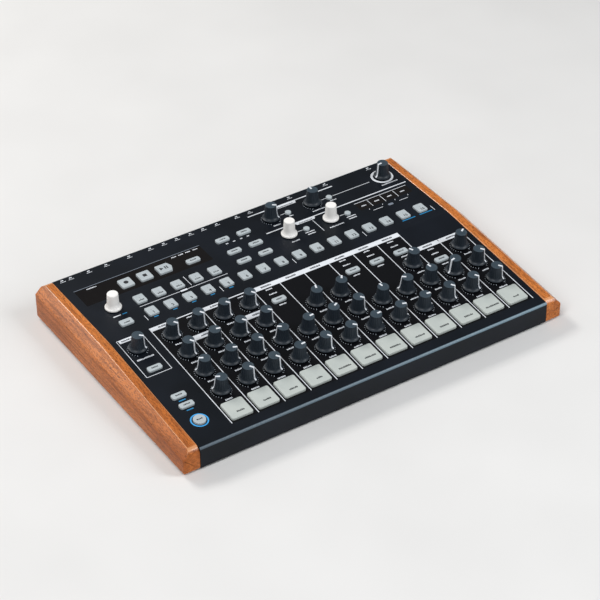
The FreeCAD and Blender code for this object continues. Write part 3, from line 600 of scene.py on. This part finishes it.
scale_end = 240.0
dark_width, dark_height = knob_size("knob_master_volume")
dark_profile = knob_profile(dark_width, dark_height, floor=1.9, rim=1.0, grip=15.2, crown=12.8,
                            skirt_top=6.2, edge=0.6, flat_cap=5.0)
dark_body = turned_shell(*dark_profile, flutes=20, depth=0.35, around=160)
profile_r, profile_z, _ = dark_profile
pointer_start, pointer_end_r = 6, 1.6
pointer_r = np.minimum(profile_r, dark_width / 2 - 0.1)[pointer_start:-1]
pointer_r = np.append(pointer_r, pointer_end_r)
pointer_z = np.append(profile_z[pointer_start:-1], profile_z[-1] + 0.02)
pointer_band = band_shell(pointer_r, pointer_z, width=2.0, rise=0.18)
cap_rings = 9
cap_steps = (np.arange(len(profile_r) - 1) >= len(profile_r) - cap_rings).astype(int)

dark_knobs = sorted(b for b in joints if b.startswith("knob_") and not b.endswith("_encoder"))
for body in dark_knobs:
    angle = scale_end - joints[body]["range_deg"][1]
    shells = [(set_in_place(dark_body, body, angle), cap_steps), (set_in_place(pointer_band, body, angle), 2)]
    piece(body + "_turned", shells, [knob_plastic, knob_cap, white_ink], body, body)
print(len(dark_knobs), "dark knobs, %.1f mm wide and %.1f mm high" % (dark_width, dark_height))

# %% [markdown]
# The three encoders turn without end, so they have no pointer. They are white and plain, without flutes.

# %% White encoder knobs
white_width, white_height = knob_size("knob_value_encoder")
white_profile = knob_profile(white_width, white_height, floor=0.9, rim=2.0, grip=13.4, crown=12.4,
                             skirt_top=9.0, edge=1.0, flat_cap=4.8)
white_body = turned_shell(*white_profile, flutes=0, depth=0.0, around=96)
encoders = sorted(b for b in joints if b.endswith("_encoder"))
for body in encoders:
    shells = [(set_in_place(white_body, body, 0), 0)]
    piece(body + "_turned", shells, [encoder_plastic], body, body)
print(len(encoders), "encoders, %.1f mm wide and %.1f mm high" % (white_width, white_height))

# %% [markdown]
# A keycap is a rounded outline that rises through its hole with a slight draft, turns over an eased edge
# and dips a hair in the middle of its top. The same function makes pads, keys, pills and round buttons,
# because a square whose corner radius is nearly half its side is nearly a circle.

# %% Shape of a cap
round_from = 2.9


def cap_shell(x, y, corners, radius, rise, edge, dish, below=2.4, draft=0.15):
    """Rings of a cap: a wall with some draft, a quarter turn of radius edge, then rings drawn in by a share k
    of the way to the middle, whose height dips by dish (1 - (1 - k)^2)."""
    per = 12 if radius > round_from else 6
    a = np.linspace(0, np.pi / 2, 6)
    half = np.abs(np.asarray(corners)[:, 1]).max()
    reach = min(half - edge - draft, radius * 6)
    shares = np.linspace(0, 0.94, 6)[1:]
    inset = np.concatenate([[0, draft * 0.9], draft + edge * (1 - np.cos(a)), draft + edge + reach * shares])
    height = np.concatenate([[-below, rise - edge], rise - edge + edge * np.sin(a),
                             rise - dish * (1 - (1 - shares) ** 2)])
    flat = np.array([rounded_outline(corners, radius, i, per) for i in inset])
    return panel_point(x + flat[..., 0], y + flat[..., 1], np.repeat(height[:, None], flat.shape[1], 1))


# %% [markdown]
# The keys keep the panel's own order: sixteen step keys in a row, five mode keys and the transport keys
# above them, two columns of pattern keys, small round keys by the knobs, long ones in the columns and at
# the left. Each is a place and an outline, and each group is one piece that rides on its own body.

# %% Places of the keys
column_pitch = 32.25
column_first_line = -174.0
columns = column_first_line + (np.arange(12) + 0.5) * column_pitch
step_pitch = 23.64
steps_x = -156.2 + np.arange(16) * step_pitch
transport_x = steps_x[:3] + 1.7
step_y, mode_y, transport_y = 49.9, 75.4, 108.9
key_corners, pill_corners = rectangle(12.4, 14.4), rectangle(16.9, 7.7)
big_corners, value_corners = rectangle(15.4, 15.4), rectangle(15.4, 9.7)
play_corners = [(-7.7, -7.7), (7.7, -7.7), (10.7, 0), (7.7, 7.7), (-7.7, 7.7)]
small_round, start_round, pad_corners = rectangle(7.4, 7.4), rectangle(14, 14), rectangle(25.9, 25.9)
left_x, start_y = -200.2, -121.4
tap_place, value_place = (-71.6, 104.7), (-188.8, 47.7)
pill_places = [(x, y) for x in (-24.0, 4.1) for y in (120.2, 94.5, 74.0)]
round_places = [(x, y) for x in (67.0, 123.2) for y in (125.1, 86.8)]
voice_pills = [(columns[i], -4.9) for i in (4, 7, 8, 9)] + [(columns[10], -38.1)]
left_pills = [(left_x, y) for y in (-31.3, -80.0, -95.8)]

# %% Keycaps and pads
key_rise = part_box("step_buttons")[1][2] / MM - panel_top
key_edge, key_dish = 0.5, 0.06
key_radius, play_radius, pill_radius, round_radius, start_radius = 1.6, 1.2, 2.2, 3.6, 6.9
cap_groups = {
    "step_buttons": [(x, step_y, key_corners, key_radius) for x in steps_x],
    "transport_and_mode_buttons": [(x, mode_y, key_corners, key_radius) for x in steps_x[:5]]
    + [(x, transport_y, big_corners, key_radius) for x in transport_x[:2]]
    + [(transport_x[2], transport_y, play_corners, play_radius), (*tap_place, pill_corners, pill_radius),
       (*value_place, value_corners, key_radius)],
    "pattern_and_filter_buttons": [(x, y, pill_corners, pill_radius) for x, y in pill_places]
    + [(x, y, small_round, round_radius) for x, y in round_places],
    "voice_buttons": [(x, y, pill_corners, pill_radius) for x, y in voice_pills + left_pills],
    "start_button": [(left_x, start_y, start_round, start_radius)],
}
for group, caps in cap_groups.items():
    shells = [(cap_shell(*cap, key_rise, key_edge, key_dish), 0) for cap in caps]
    piece(group + "_caps", shells, [key_plastic], group, group)
pads_x, pads_y = columns - 1.0, -126.8
pad_rise, pad_radius, pad_edge, pad_dish = 2.5, 2.5, 0.8, 0.05
pads = [(cap_shell(x, pads_y, pad_corners, pad_radius, pad_rise, pad_edge, pad_dish), 0) for x in pads_x]
piece("drum_pads_caps", pads, [pad_rubber], "drum_pads", "drum_pads")
print(sum(len(c) for c in cap_groups.values()), "keycaps and", len(pads), "pads")

# %% [markdown]
# The printing on the panel is a few hundredths of a millimetre of ink. Here each mark is a thin closed
# slab, and one function lifts any flat outline onto the panel, leaning with it in front of the crease. A
# few small makers of outlines cover it all: bars, slanted lines, rings and rows of blocks. Where ink lies
# on ink it is lifted by a few hundredths, so that no two faces lie in one plane.

# %% Ink slabs
ink_rise, ink_sunk = 0.05, 0.02
band_lift, on_band_lift = 0.01, 0.06


def slab(outline, lift=0.0):
    """A flat outline as a closed slab on the panel, from just below its surface to just above it."""
    outline = np.asarray(outline, float)
    heights = np.array([lift - ink_sunk, lift + ink_rise])
    return panel_point(outline[None, :, 0], outline[None, :, 1], heights[:, None])


def bar(x0, x1, y0, y1):
    """Corners of an upright bar between two x and two y values."""
    return [(x0, y0), (x1, y0), (x1, y1), (x0, y1)]


def stroke(x0, y0, x1, y1, width):
    """Corners of a straight line of a width."""
    d = np.array([x1 - x0, y1 - y0], float)
    n = np.array([-d[1], d[0]]) / np.linalg.norm(d) * width / 2
    a, b = np.array([x0, y0]), np.array([x1, y1])
    return [a - n, b - n, b + n, a + n]


def ring_slab(x, y, inner, outer, around=64):
    """A whole ring as one closed surface: four corners of its section carried round the centre."""
    angle = np.linspace(0, 2 * np.pi, around, endpoint=False)
    radius = np.array([outer, inner, inner, outer])
    height = np.array([-ink_sunk, -ink_sunk, ink_rise, ink_rise])
    px = x + np.cos(angle)[:, None] * radius
    py = y + np.sin(angle)[:, None] * radius
    return panel_point(px, py, np.broadcast_to(height, px.shape))


def marks(x, y, width, height, seed, count=None):
    """A small label as a row of plain blocks: with random shares, each is as wide as its share of what even
    gaps leave of the width, and about three in ten are lower than the rest."""
    rng = np.random.default_rng(seed)
    count = count or max(3, int(round(width / 1.5)))
    share = rng.uniform(0.7, 1.3, count)
    gap = 0.28 * width / count
    widths = (width - gap * (count - 1)) * share / share.sum()
    left = x - width / 2 + np.concatenate([[0], np.cumsum(widths + gap)[:-1]])
    tall = height * np.where(rng.random(count) < 0.3, 0.72, 1.0)
    low = y - height / 2
    return [bar(a, a + w, low, low + h) for a, w, h in zip(left, widths, tall, strict=True)]


# %% [markdown]
# The voice field is ruled into columns. Most rules run its whole depth, and four stop at a band. A band
# fills the head of a column, and a run of bands is parted by a thin slit at each rule.

# %% Rules and bands of the voice field
rule_width = 0.9
rule_front, rule_rear = -142.2, 25.06
short_rule_ends = {1: -8.5, 3: -8.5, 11: -10.75, 12: -10.75}
rule_slabs = []
for k in range(13):
    x = column_first_line + k * column_pitch
    end = short_rule_ends.get(k, rule_rear)
    rule_slabs.append(slab(bar(x - rule_width / 2, x + rule_width / 2, rule_front, end)))


def column_edges(column):
    """Left and right edge of a column, rules included."""
    return (column_first_line + (column - 1) * column_pitch - rule_width / 2,
            column_first_line + column * column_pitch + rule_width / 2)


bands = [(5, 10, 18.5, 25.3), (1, 1, 19.4, 25.2), (3, 3, 19.4, 25.2), (2, 2, -16.0, -8.5),
         (4, 4, -16.0, -8.5), (11, 12, -14.0, -7.5)]
band_slit = 0.9
band_slabs = []
for first, last, front, rear in bands:
    for column in range(first, last + 1):
        left, right = column_edges(column)
        outline = bar(left + band_slit * (column > first), right - rule_width * (column < last), front, rear)
        band_slabs.append(slab(outline, band_lift))
band_slabs += [slab(bar(*column_edges(column), 23.8, 25.2), band_lift) for column in (2, 4)]
piece("print_column_rules", [(s, 0) for s in rule_slabs + band_slabs], [white_ink], "case")
print(len(rule_slabs), "rules and", len(band_slabs), "bands")

# %% [markdown]
# The scale round each knob is a row of fine grey ticks, every 15 degrees over 300 degrees, with longer ones
# at the ends. The master volume has its ring instead.

# %% Scales round the knobs
tick_count, tick_width = 21, 0.45
end_tick, inner_tick = (10.3, 12.2), (10.5, 11.5)


def knob_scale(body):
    """Ticks every 15 degrees from 240 to -60, the two at the ends longer and starting nearer."""
    point, _ = joint_place(body)
    x, y = point[0], point[1] - case_middle_y
    ticks = []
    for k, angle in enumerate(np.radians(np.linspace(scale_end, scale_end - 300, tick_count))):
        near, far = end_tick if k in (0, tick_count - 1) else inner_tick
        c, s = math.cos(angle), math.sin(angle)
        ticks.append(slab(stroke(x + near * c, y + near * s, x + far * c, y + far * s, tick_width)))
    return ticks


scaled = [b for b in dark_knobs if b != "knob_master_volume"]
tick_slabs = [t for body in scaled for t in knob_scale(body)]
piece("print_knob_scales", [(s, 0) for s in tick_slabs], [scale_ink], "case")
print(len(tick_slabs), "ticks round", len(scaled), "knobs")

# %% [markdown]
# Small labels are rows of plain blocks of uneven width. Seen from where a player stands they read as small
# print, and say nothing. Those on a filled band are dark, the others white. Each row has a seed of its own,
# so it comes out the same every time.

# %% Small print of the voice field
knob_label_drop = 15.1
label_height, knob_label_height, band_label_height = 1.7, 2.0, 2.4
label_slabs = []
dark_label_slabs = []
for n, body in enumerate(dark_knobs):
    point, _ = joint_place(body)
    x, y = point[0], point[1] - case_middle_y
    if y < 10 and body != "knob_roll_amount":
        label_slabs += [slab(m) for m in marks(x, y - knob_label_drop, 8.4 + n % 3, knob_label_height, n)]
for n, (x, y) in enumerate(voice_pills):
    for dy, width in ((20.4, 8.0), (12.2, 9.5), (-7.7, 8.5)):
        label_slabs += [slab(m) for m in marks(x, y + dy, width, label_height, 100 + 3 * n + int(dy))]
for column in (2, 4):
    label_slabs += [slab(m) for m in marks(columns[column - 1], 20.3, 10, label_height, 160 + column)]
for n, (first, last, front, rear) in enumerate(bands):
    for column in range(first, last + 1):
        row = marks(columns[column - 1], (front + rear) / 2, 13, band_label_height, 200 + 10 * n + column)
        dark_label_slabs += [slab(m, on_band_lift) for m in row]

# %% [markdown]
# The strip at the left has its own frame with a filled tab, and the start key sits in a bright ring. Two
# short blue dashes stand under the keys between them.

# %% Left strip
frame_left, frame_right = -214.4, -184.4
frame_front, frame_rear = -39.8, 24.5
thin = 0.65
frame_lines = [(x, frame_front, x, frame_rear) for x in (frame_left, frame_right)]
frame_lines += [(frame_left, y, frame_right, y) for y in (frame_front, frame_rear)]
strip_tab = [(-212.5, 19.4), (-189.5, 19.4), (-187.0, 24.3), (-212.5, 24.3)]
strip_slabs = [slab(stroke(*ends, thin)) for ends in frame_lines] + [slab(strip_tab, band_lift)]
label_slabs += [slab(m) for m in marks(left_x, -12.4, 20, 2.2, 300)]
dark_label_slabs += [slab(m, on_band_lift) for m in marks(-200.6, 21.9, 18, 2.0, 301)]
dash_width, dash_half = 1.5, 4.0
blue_slabs = [slab(bar(left_x - dash_half, left_x + dash_half, y - dash_width / 2, y + dash_width / 2))
              for y in (-87.2, -102.9)]
start_ring = ring_slab(left_x, start_y, 8.2, 9.75)
piece("print_start_ring", [(start_ring, 0, True)], [ring_ink], "case")
piece("print_left_strip", [(s, 0) for s in strip_slabs], [white_ink], "case")

# %% [markdown]
# On the level part, two thick rules with tabs stand over the filter knobs and the encoders. Thin ones part
# the step keys into fours and lead from knobs and keys to their labels. Short blue dashes mark the keys
# that do a second job, and the volume knob sits in a white ring.

# %% Rules of the level part
thick = 1.5
level_slabs = []
tabbed_rules = ((24.0, 139.4, 143.1, 55.0, 88.0, 3.4), (24.4, 216.5, 104.0, 61.0, 88.8, 3.2))
for x0, x1, y, tab0, tab1, drop in tabbed_rules:
    tab = [(tab0 + 2, y - drop - 1.4), (tab1 - 2, y - drop - 1.4), (tab1, y - 0.6), (tab0, y - 0.6)]
    level_slabs += [slab(stroke(x0, y, x1, y, thick)), slab(tab, band_lift)]
for x0, x1, y in ((57.5, 63.8, 126.25), (112, 120, 126.25), (129, 180.6, 126.25), (56, 63, 88.1),
                  (113, 119.8, 88.1), (-163, -112.8, 64.0), (-102.5, -52, 64.0), (152, 165, 76.25),
                  (188, 200, 76.25)):
    level_slabs.append(slab(stroke(x0, y, x1, y, thin)))
for x, y0, y1 in ((82.5, 73.8, 97.5), (-95.9, 67.5, 85.6)):
    level_slabs.append(slab(stroke(x, y0, x, y1, thin)))
for k in (0, 4, 8, 12, 16):
    x = steps_x[0] + (k - 0.45) * step_pitch
    level_slabs.append(slab(stroke(x, 38.7, x, 48.0, thin)))
badge_radius = 1.2
level_slabs.append(slab(rounded_outline(rectangle(9.0, 2.6) + (-107.6, 64.0), badge_radius)))

# %% Blue dashes and the ring of the master volume
step_dash_y, value_dash_y = 39.5, 62.4
step_dashes = [(x - 2.6, x + 2.6) for x in steps_x[:5]] + [(167.0, 184.8), (191.0, 208.5)]
blue_slabs += [slab(bar(x0, x1, step_dash_y, step_dash_y + dash_width)) for x0, x1 in step_dashes]
blue_slabs.append(slab(bar(-185.0, -179.4, value_dash_y, value_dash_y + dash_width)))
level_slabs.append(slab(bar(-196, -187, value_dash_y, value_dash_y + dash_width)))
master_ring = ring_slab(199.6, 128.0, 10.6, 13.4)

# %% Small print of the level part
level_words = ((44.1, 112, 9.4), (100.5, 112, 16), (67.5, 119, 5), (125, 119, 8), (45, 74.6, 10),
               (100.5, 74.6, 19), (68, 81, 12), (124, 81, 12), (68, 77, 10), (124, 77, 10),
               (199.9, 112.5, 22), (-22.8, 112.1, 3), (-13.5, 112.1, 3), (-4.2, 112.1, 3), (4.8, 112.1, 3))
for n, (x, y, width) in enumerate(level_words):
    label_slabs += [slab(m) for m in marks(x, y, width, label_height, 400 + n)]
tab_words = ((71.5, 139.8, 22), (74.9, 101.0, 18))
for n, (x, y, width) in enumerate(tab_words):
    row = marks(x, y, width, label_height, 400 + len(level_words) + n)
    dark_label_slabs += [slab(m, on_band_lift) for m in row]
socket_labels_x = (-211, -200.5, -178, -156, -127, -100, -82.5, -65.5, -47.5, -31, -13, 13.5, 31, 84.5, 134,
                   195)
for n, x in enumerate(socket_labels_x):
    glyph = marks(x, 151.6, 3.0, 1.8, 500 + n, count=2)
    label_slabs += [slab(m) for m in glyph + marks(x, 148.8, 6.5, 0.9, 540 + n)]

# %% [markdown]
# The touch strip has a fine line over it, three dividers, four short labels and four slanted ticks under it.
# Once these are made, every list of slabs is complete and becomes one piece for each ink.

# %% Touch strip
divider_width = 0.6
touch_slabs = [slab(stroke(140.0, 98.3, 212.0, 98.3, thin), band_lift)]
for x in (156.9, 174.6, 192.5):
    touch_slabs.append(slab(stroke(x, 83.7, x, 96.9, divider_width), band_lift))
for n, x in enumerate((148.0, 166.0, 183.5, 201.6)):
    label_slabs += [slab(m, band_lift) for m in marks(x, 90.3, 6, 1.8, 600 + n)]
    touch_slabs.append(slab(stroke(x + 1.0, 79.7, x + 1.9, 81.5, divider_width)))

# %% Printed pieces
level_shells = [(s, 0) for s in level_slabs + touch_slabs] + [(master_ring, 0, True)]
piece("print_level_rules", level_shells, [white_ink], "case")
piece("print_small_labels", [(s, 0) for s in label_slabs], [white_ink], "case")
piece("print_band_labels", [(s, 0) for s in dark_label_slabs], [dark_ink], "case")
piece("print_blue_dashes", [(s, 0) for s in blue_slabs], [blue_ink], "case")
window_words = ((-190, 12), (-86, 6), (-77, 6), (-68, 6), (-58.5, 6))
window_slabs = [slab(m, band_lift) for n, (x, width) in enumerate(window_words)
                for m in marks(x, 122.7, width, 1.6, 700 + n)]
piece("print_window_labels", [(s, 0) for s in window_slabs], [white_ink], "case")
window_line = stroke(-210, 126.5, -51, 126.5, 0.7)
touch_badge = rounded_outline(rectangle(7.0, 3.6) + (175.8, 76.0), 1.7)
faint_shells = [(slab(outline), 0) for outline in (window_line, touch_badge)]
piece("print_faint", faint_shells, [grey_ink], "case")
print(len(label_slabs), "small blocks of print")

# %% [markdown]
# Plain numbers from 1 to 16 are printed on the step keys. The built-in letter shapes are made a mesh first,
# then laid on the cap and moved into place, so the finished object sits at the origin.

# %% Numbers on the step keys
number_size, number_bold, number_thick = 5.4, 0.12, 0.02
number_right, number_down = 0.6, 5.4
cap_ink_lift = 0.01


def number_points(text, size):
    """The flat mesh of a number, centred on its baseline, as points in millimetres and faces."""
    curve = bpy.data.curves.new("number", "FONT")
    curve.body = text
    curve.size = size
    curve.align_x = "CENTER"
    curve.extrude = number_thick
    curve.offset = number_bold
    carrier = bpy.data.objects.new("number", curve)
    mesh = bpy.data.meshes.new_from_object(carrier)
    points = np.empty(len(mesh.vertices) * 3)
    mesh.vertices.foreach_get("co", points)
    faces = [list(p.vertices) for p in mesh.polygons]
    bpy.data.objects.remove(carrier)
    bpy.data.curves.remove(curve)
    bpy.data.meshes.remove(mesh)
    return points.reshape(-1, 3), faces


points, faces = [], []
for i, x in enumerate(steps_x):
    shape, made = number_points(str(i + 1), number_size)
    start = sum(len(p) for p in points)
    points.append(panel_point(x + number_right + shape[:, 0], step_y - number_down + shape[:, 1],
                              key_rise + cap_ink_lift + shape[:, 2]))
    faces += [[v + start for v in f] for f in made]
numbers = bpy.data.meshes.new("step_numbers")
numbers.from_pydata((np.concatenate(points) * MM).tolist(), [], faces)
step_numbers = bpy.data.objects.new("step_numbers", numbers)
bpy.context.scene.collection.objects.link(step_numbers)
numbers.materials.append(dark_ink)
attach(step_numbers, "step_buttons")
print("numbers 1 to", len(steps_x), "with", len(faces), "faces")

# %% [markdown]
# The other caps carry a small dark mark: a dot, a square and a triangle with bars on the transport keys,
# and short dashes elsewhere. Each set rides on its caps, so it goes down with them.

# %% Marks on the caps
def cap_marks(name, body, outlines):
    """Dark slabs on the tops of a group's caps, let in a hair."""
    piece(name, [(slab(o, key_rise - cap_ink_lift), 0) for o in outlines], [dark_ink], body)


record_x, stop_x, play_x = transport_x
half = 2.3
dot = rounded_outline(rectangle(5.4, 5.4) + (record_x, transport_y), 2.6, per_corner=12)
square = bar(stop_x - half, stop_x + half, transport_y - half, transport_y + half)
triangle = [(play_x - 4.4, transport_y - 2.5), (play_x - 0.2, transport_y), (play_x - 4.4, transport_y + 2.5)]
pause = [bar(play_x + d, play_x + d + 1.3, transport_y - 2.4, transport_y + 2.4) for d in (1.6, 4.0)]
mode_dashes = [m for n, x in enumerate(steps_x[:5]) for m in marks(x, mode_y - 3.4, 6.6, 1.6, 800 + n)]
tap_dashes = marks(*tap_place, 7, 1.8, 810)
value_dashes = marks(value_place[0], value_place[1] - 1.3, 7, 1.8, 811)
cap_marks("transport_marks", "transport_and_mode_buttons",
          [dot, square, triangle] + pause + mode_dashes + tap_dashes + value_dashes)
pill_mark_width = 7.5
for name, body, places, seed in (("pattern_marks", "pattern_and_filter_buttons", pill_places, 820),
                                 ("voice_marks", "voice_buttons", voice_pills + left_pills, 840)):
    cap_marks(name, body, [m for n, place in enumerate(places)
                           for m in marks(*place, pill_mark_width, label_height, seed + n)])
cap_marks("start_mark", "start_button", marks(left_x, start_y, 6.5, 1.8, 860))
pad_label_right, pad_label_down = 1.2, 5.2
pad_label_widths = (9, 9, 10, 7, 15, 14, 13, 12, 11, 11, 17, 7)
pad_outlines = [m for n, (x, width) in enumerate(zip(pads_x, pad_label_widths, strict=True))
                for m in marks(x + pad_label_right, pads_y - pad_label_down, width, 2.2, 870 + n)]
piece("pad_marks", [(slab(o, pad_rise - cap_ink_lift), 0) for o in pad_outlines], [dark_ink], "drum_pads")
print(len(pad_outlines), "small blocks on", len(pads_x), "pads")

# %% [markdown]
# The jacks at the back are held by round nickel nuts with a knurled rim. A nut is a ring again, but one
# whose outer radius rises and falls with a wave, and whose front edges are bevelled.

# %% Nuts on the rear sockets
nut_thick = 1.4
rim_bevel, bore_bevel = 0.3, 0.25
knurls, knurl_depth = 24, 0.12
big_bore = 3.0
big_nut, small_nut = (5.5, 8.0), (3.0, 4.4)


def nut_shell(x, z, bore, outer, around=96):
    """A ring carried round the socket's axis, which points to the back. Its outer radius is outer + depth
    times cos(24 a), and its section has six corners."""
    angle = np.linspace(0, 2 * np.pi, around, endpoint=False)
    knurl = outer + knurl_depth * np.cos(knurls * angle)
    hole = bore + 0 * angle
    section_r = np.stack([hole, knurl, knurl, knurl - rim_bevel, hole + bore_bevel, hole], -1)
    section_y = np.array([0, 0, nut_thick - rim_bevel, nut_thick, nut_thick, nut_thick - bore_bevel])
    px = x + section_r * np.cos(angle)[:, None]
    pz = z + section_r * np.sin(angle)[:, None]
    return np.stack([px, np.broadcast_to(section_y + case_high[1], px.shape), pz], -1)


nuts = []
for mount in frame["record"]["mounts"]:
    if mount["kind"] == "bore" and "jack" in mount["name"]:
        x, _, z = np.array(mount["pos_m"]) / MM
        nuts.append((nut_shell(x, z, *(big_nut if mount["dims"]["r_mm"] > big_bore else small_nut)), 0, True))
piece("socket_nuts", nuts, [nut_nickel], "case")
print(len(nuts), "nuts on the jacks")

# %% [markdown]
# The other nodes keep the frame's own shape and only take a better finish.

# %% Finishes of the frame's own nodes
node_finishes = {"top_panel": case_paint, "base_pan": case_paint, "rubber_feet": foot_rubber,
                 "case_screws": screw_steel, "circuit_boards": board_laminate,
                 "pots_and_switches": control_bodies, "rear_sockets": socket_plastic,
                 "display_and_touch_strip": window_gloss, "power_switch": socket_plastic}
for node, material in node_finishes.items():
    mesh = frame["nodes"][node]
    mesh.data.materials.clear()
    mesh.data.materials.append(material)

# %% [markdown]
# The floor is plain and pale and takes the object's shadow. Large soft lamps stand where a studio has them,
# and none of them is where the flat panel would mirror it. The one behind shines in the cheek's crease, the
# weak one at the left rear on its bevel, and the tall one at the right front along the front fold. Their
# power is set so that a colour on a level surface renders about as it is written.

# %% Floor
def pale_floor():
    """A matt near-white that drifts slowly between two tones."""
    finish = Finish("floor_pale", roughness=0.9)
    mottle = finish.noise(6, 2)
    finish.colour(finish.blend(srgb(226, 225, 223), srgb(231, 230, 228), mottle.ramp(0.3, 0.7)))
    return finish.material


floor_mesh = bpy.data.meshes.new("floor")
floor_side = 12.0
floor_mesh.from_pydata([(x, y, 0) for x, y in rectangle(floor_side, floor_side)], [], [(0, 1, 2, 3)])
floor = bpy.data.objects.new("floor", floor_mesh)
bpy.context.scene.collection.objects.link(floor)
floor_mesh.materials.append(pale_floor())

# %% World and lamps
world = bpy.data.worlds.new("studio")
world.use_nodes = True
bpy.context.scene.world = world
background = world.node_tree.nodes["Background"]
background.inputs["Color"].default_value = (0.92, 0.95, 1.0, 1.0)
background.inputs["Strength"].default_value = 0.21


def lamp(name, place, size, power, colour):
    """An area lamp that faces the middle of the floor, in metres and watts. Its pitch is the angle whose
    cosine is the drop over the distance, and its yaw turns it towards the middle."""
    data = bpy.data.lights.new(name, "AREA")
    data.shape = "RECTANGLE"
    data.size, data.size_y = size
    data.energy = power
    data.color = colour
    made = bpy.data.objects.new(name, data)
    direction = -np.array(place)
    pitch = math.acos(-direction[2] / np.linalg.norm(direction))
    yaw = math.atan2(direction[1], direction[0]) - math.pi / 2
    made.location = place
    made.rotation_euler = Euler((pitch, 0, yaw))
    bpy.context.scene.collection.objects.link(made)


lamp("back", (-0.5, 1.75, 1.75), (0.9, 0.6), 28, (1.0, 0.98, 0.95))
lamp("rear_left", (-1.6, 1.75, 1.15), (1.0, 1.0), 6.7, (1.0, 0.97, 0.95))
lamp("front_left", (-1.7, -1.0, 1.9), (1.2, 1.2), 31, (0.99, 0.99, 1.0))
lamp("front_right", (1.25, -1.4, 1.5), (0.8, 1.6), 29.6, (0.96, 0.98, 1.0))

bpy.context.scene.view_settings.view_transform = "Standard"

# %% [markdown]
# A box can be turned into plain lists of numbers.

# %% Sizes and finish
def plain(box):
    """A box as plain lists of numbers."""
    return [[float(c) for c in corner] for corner in box]
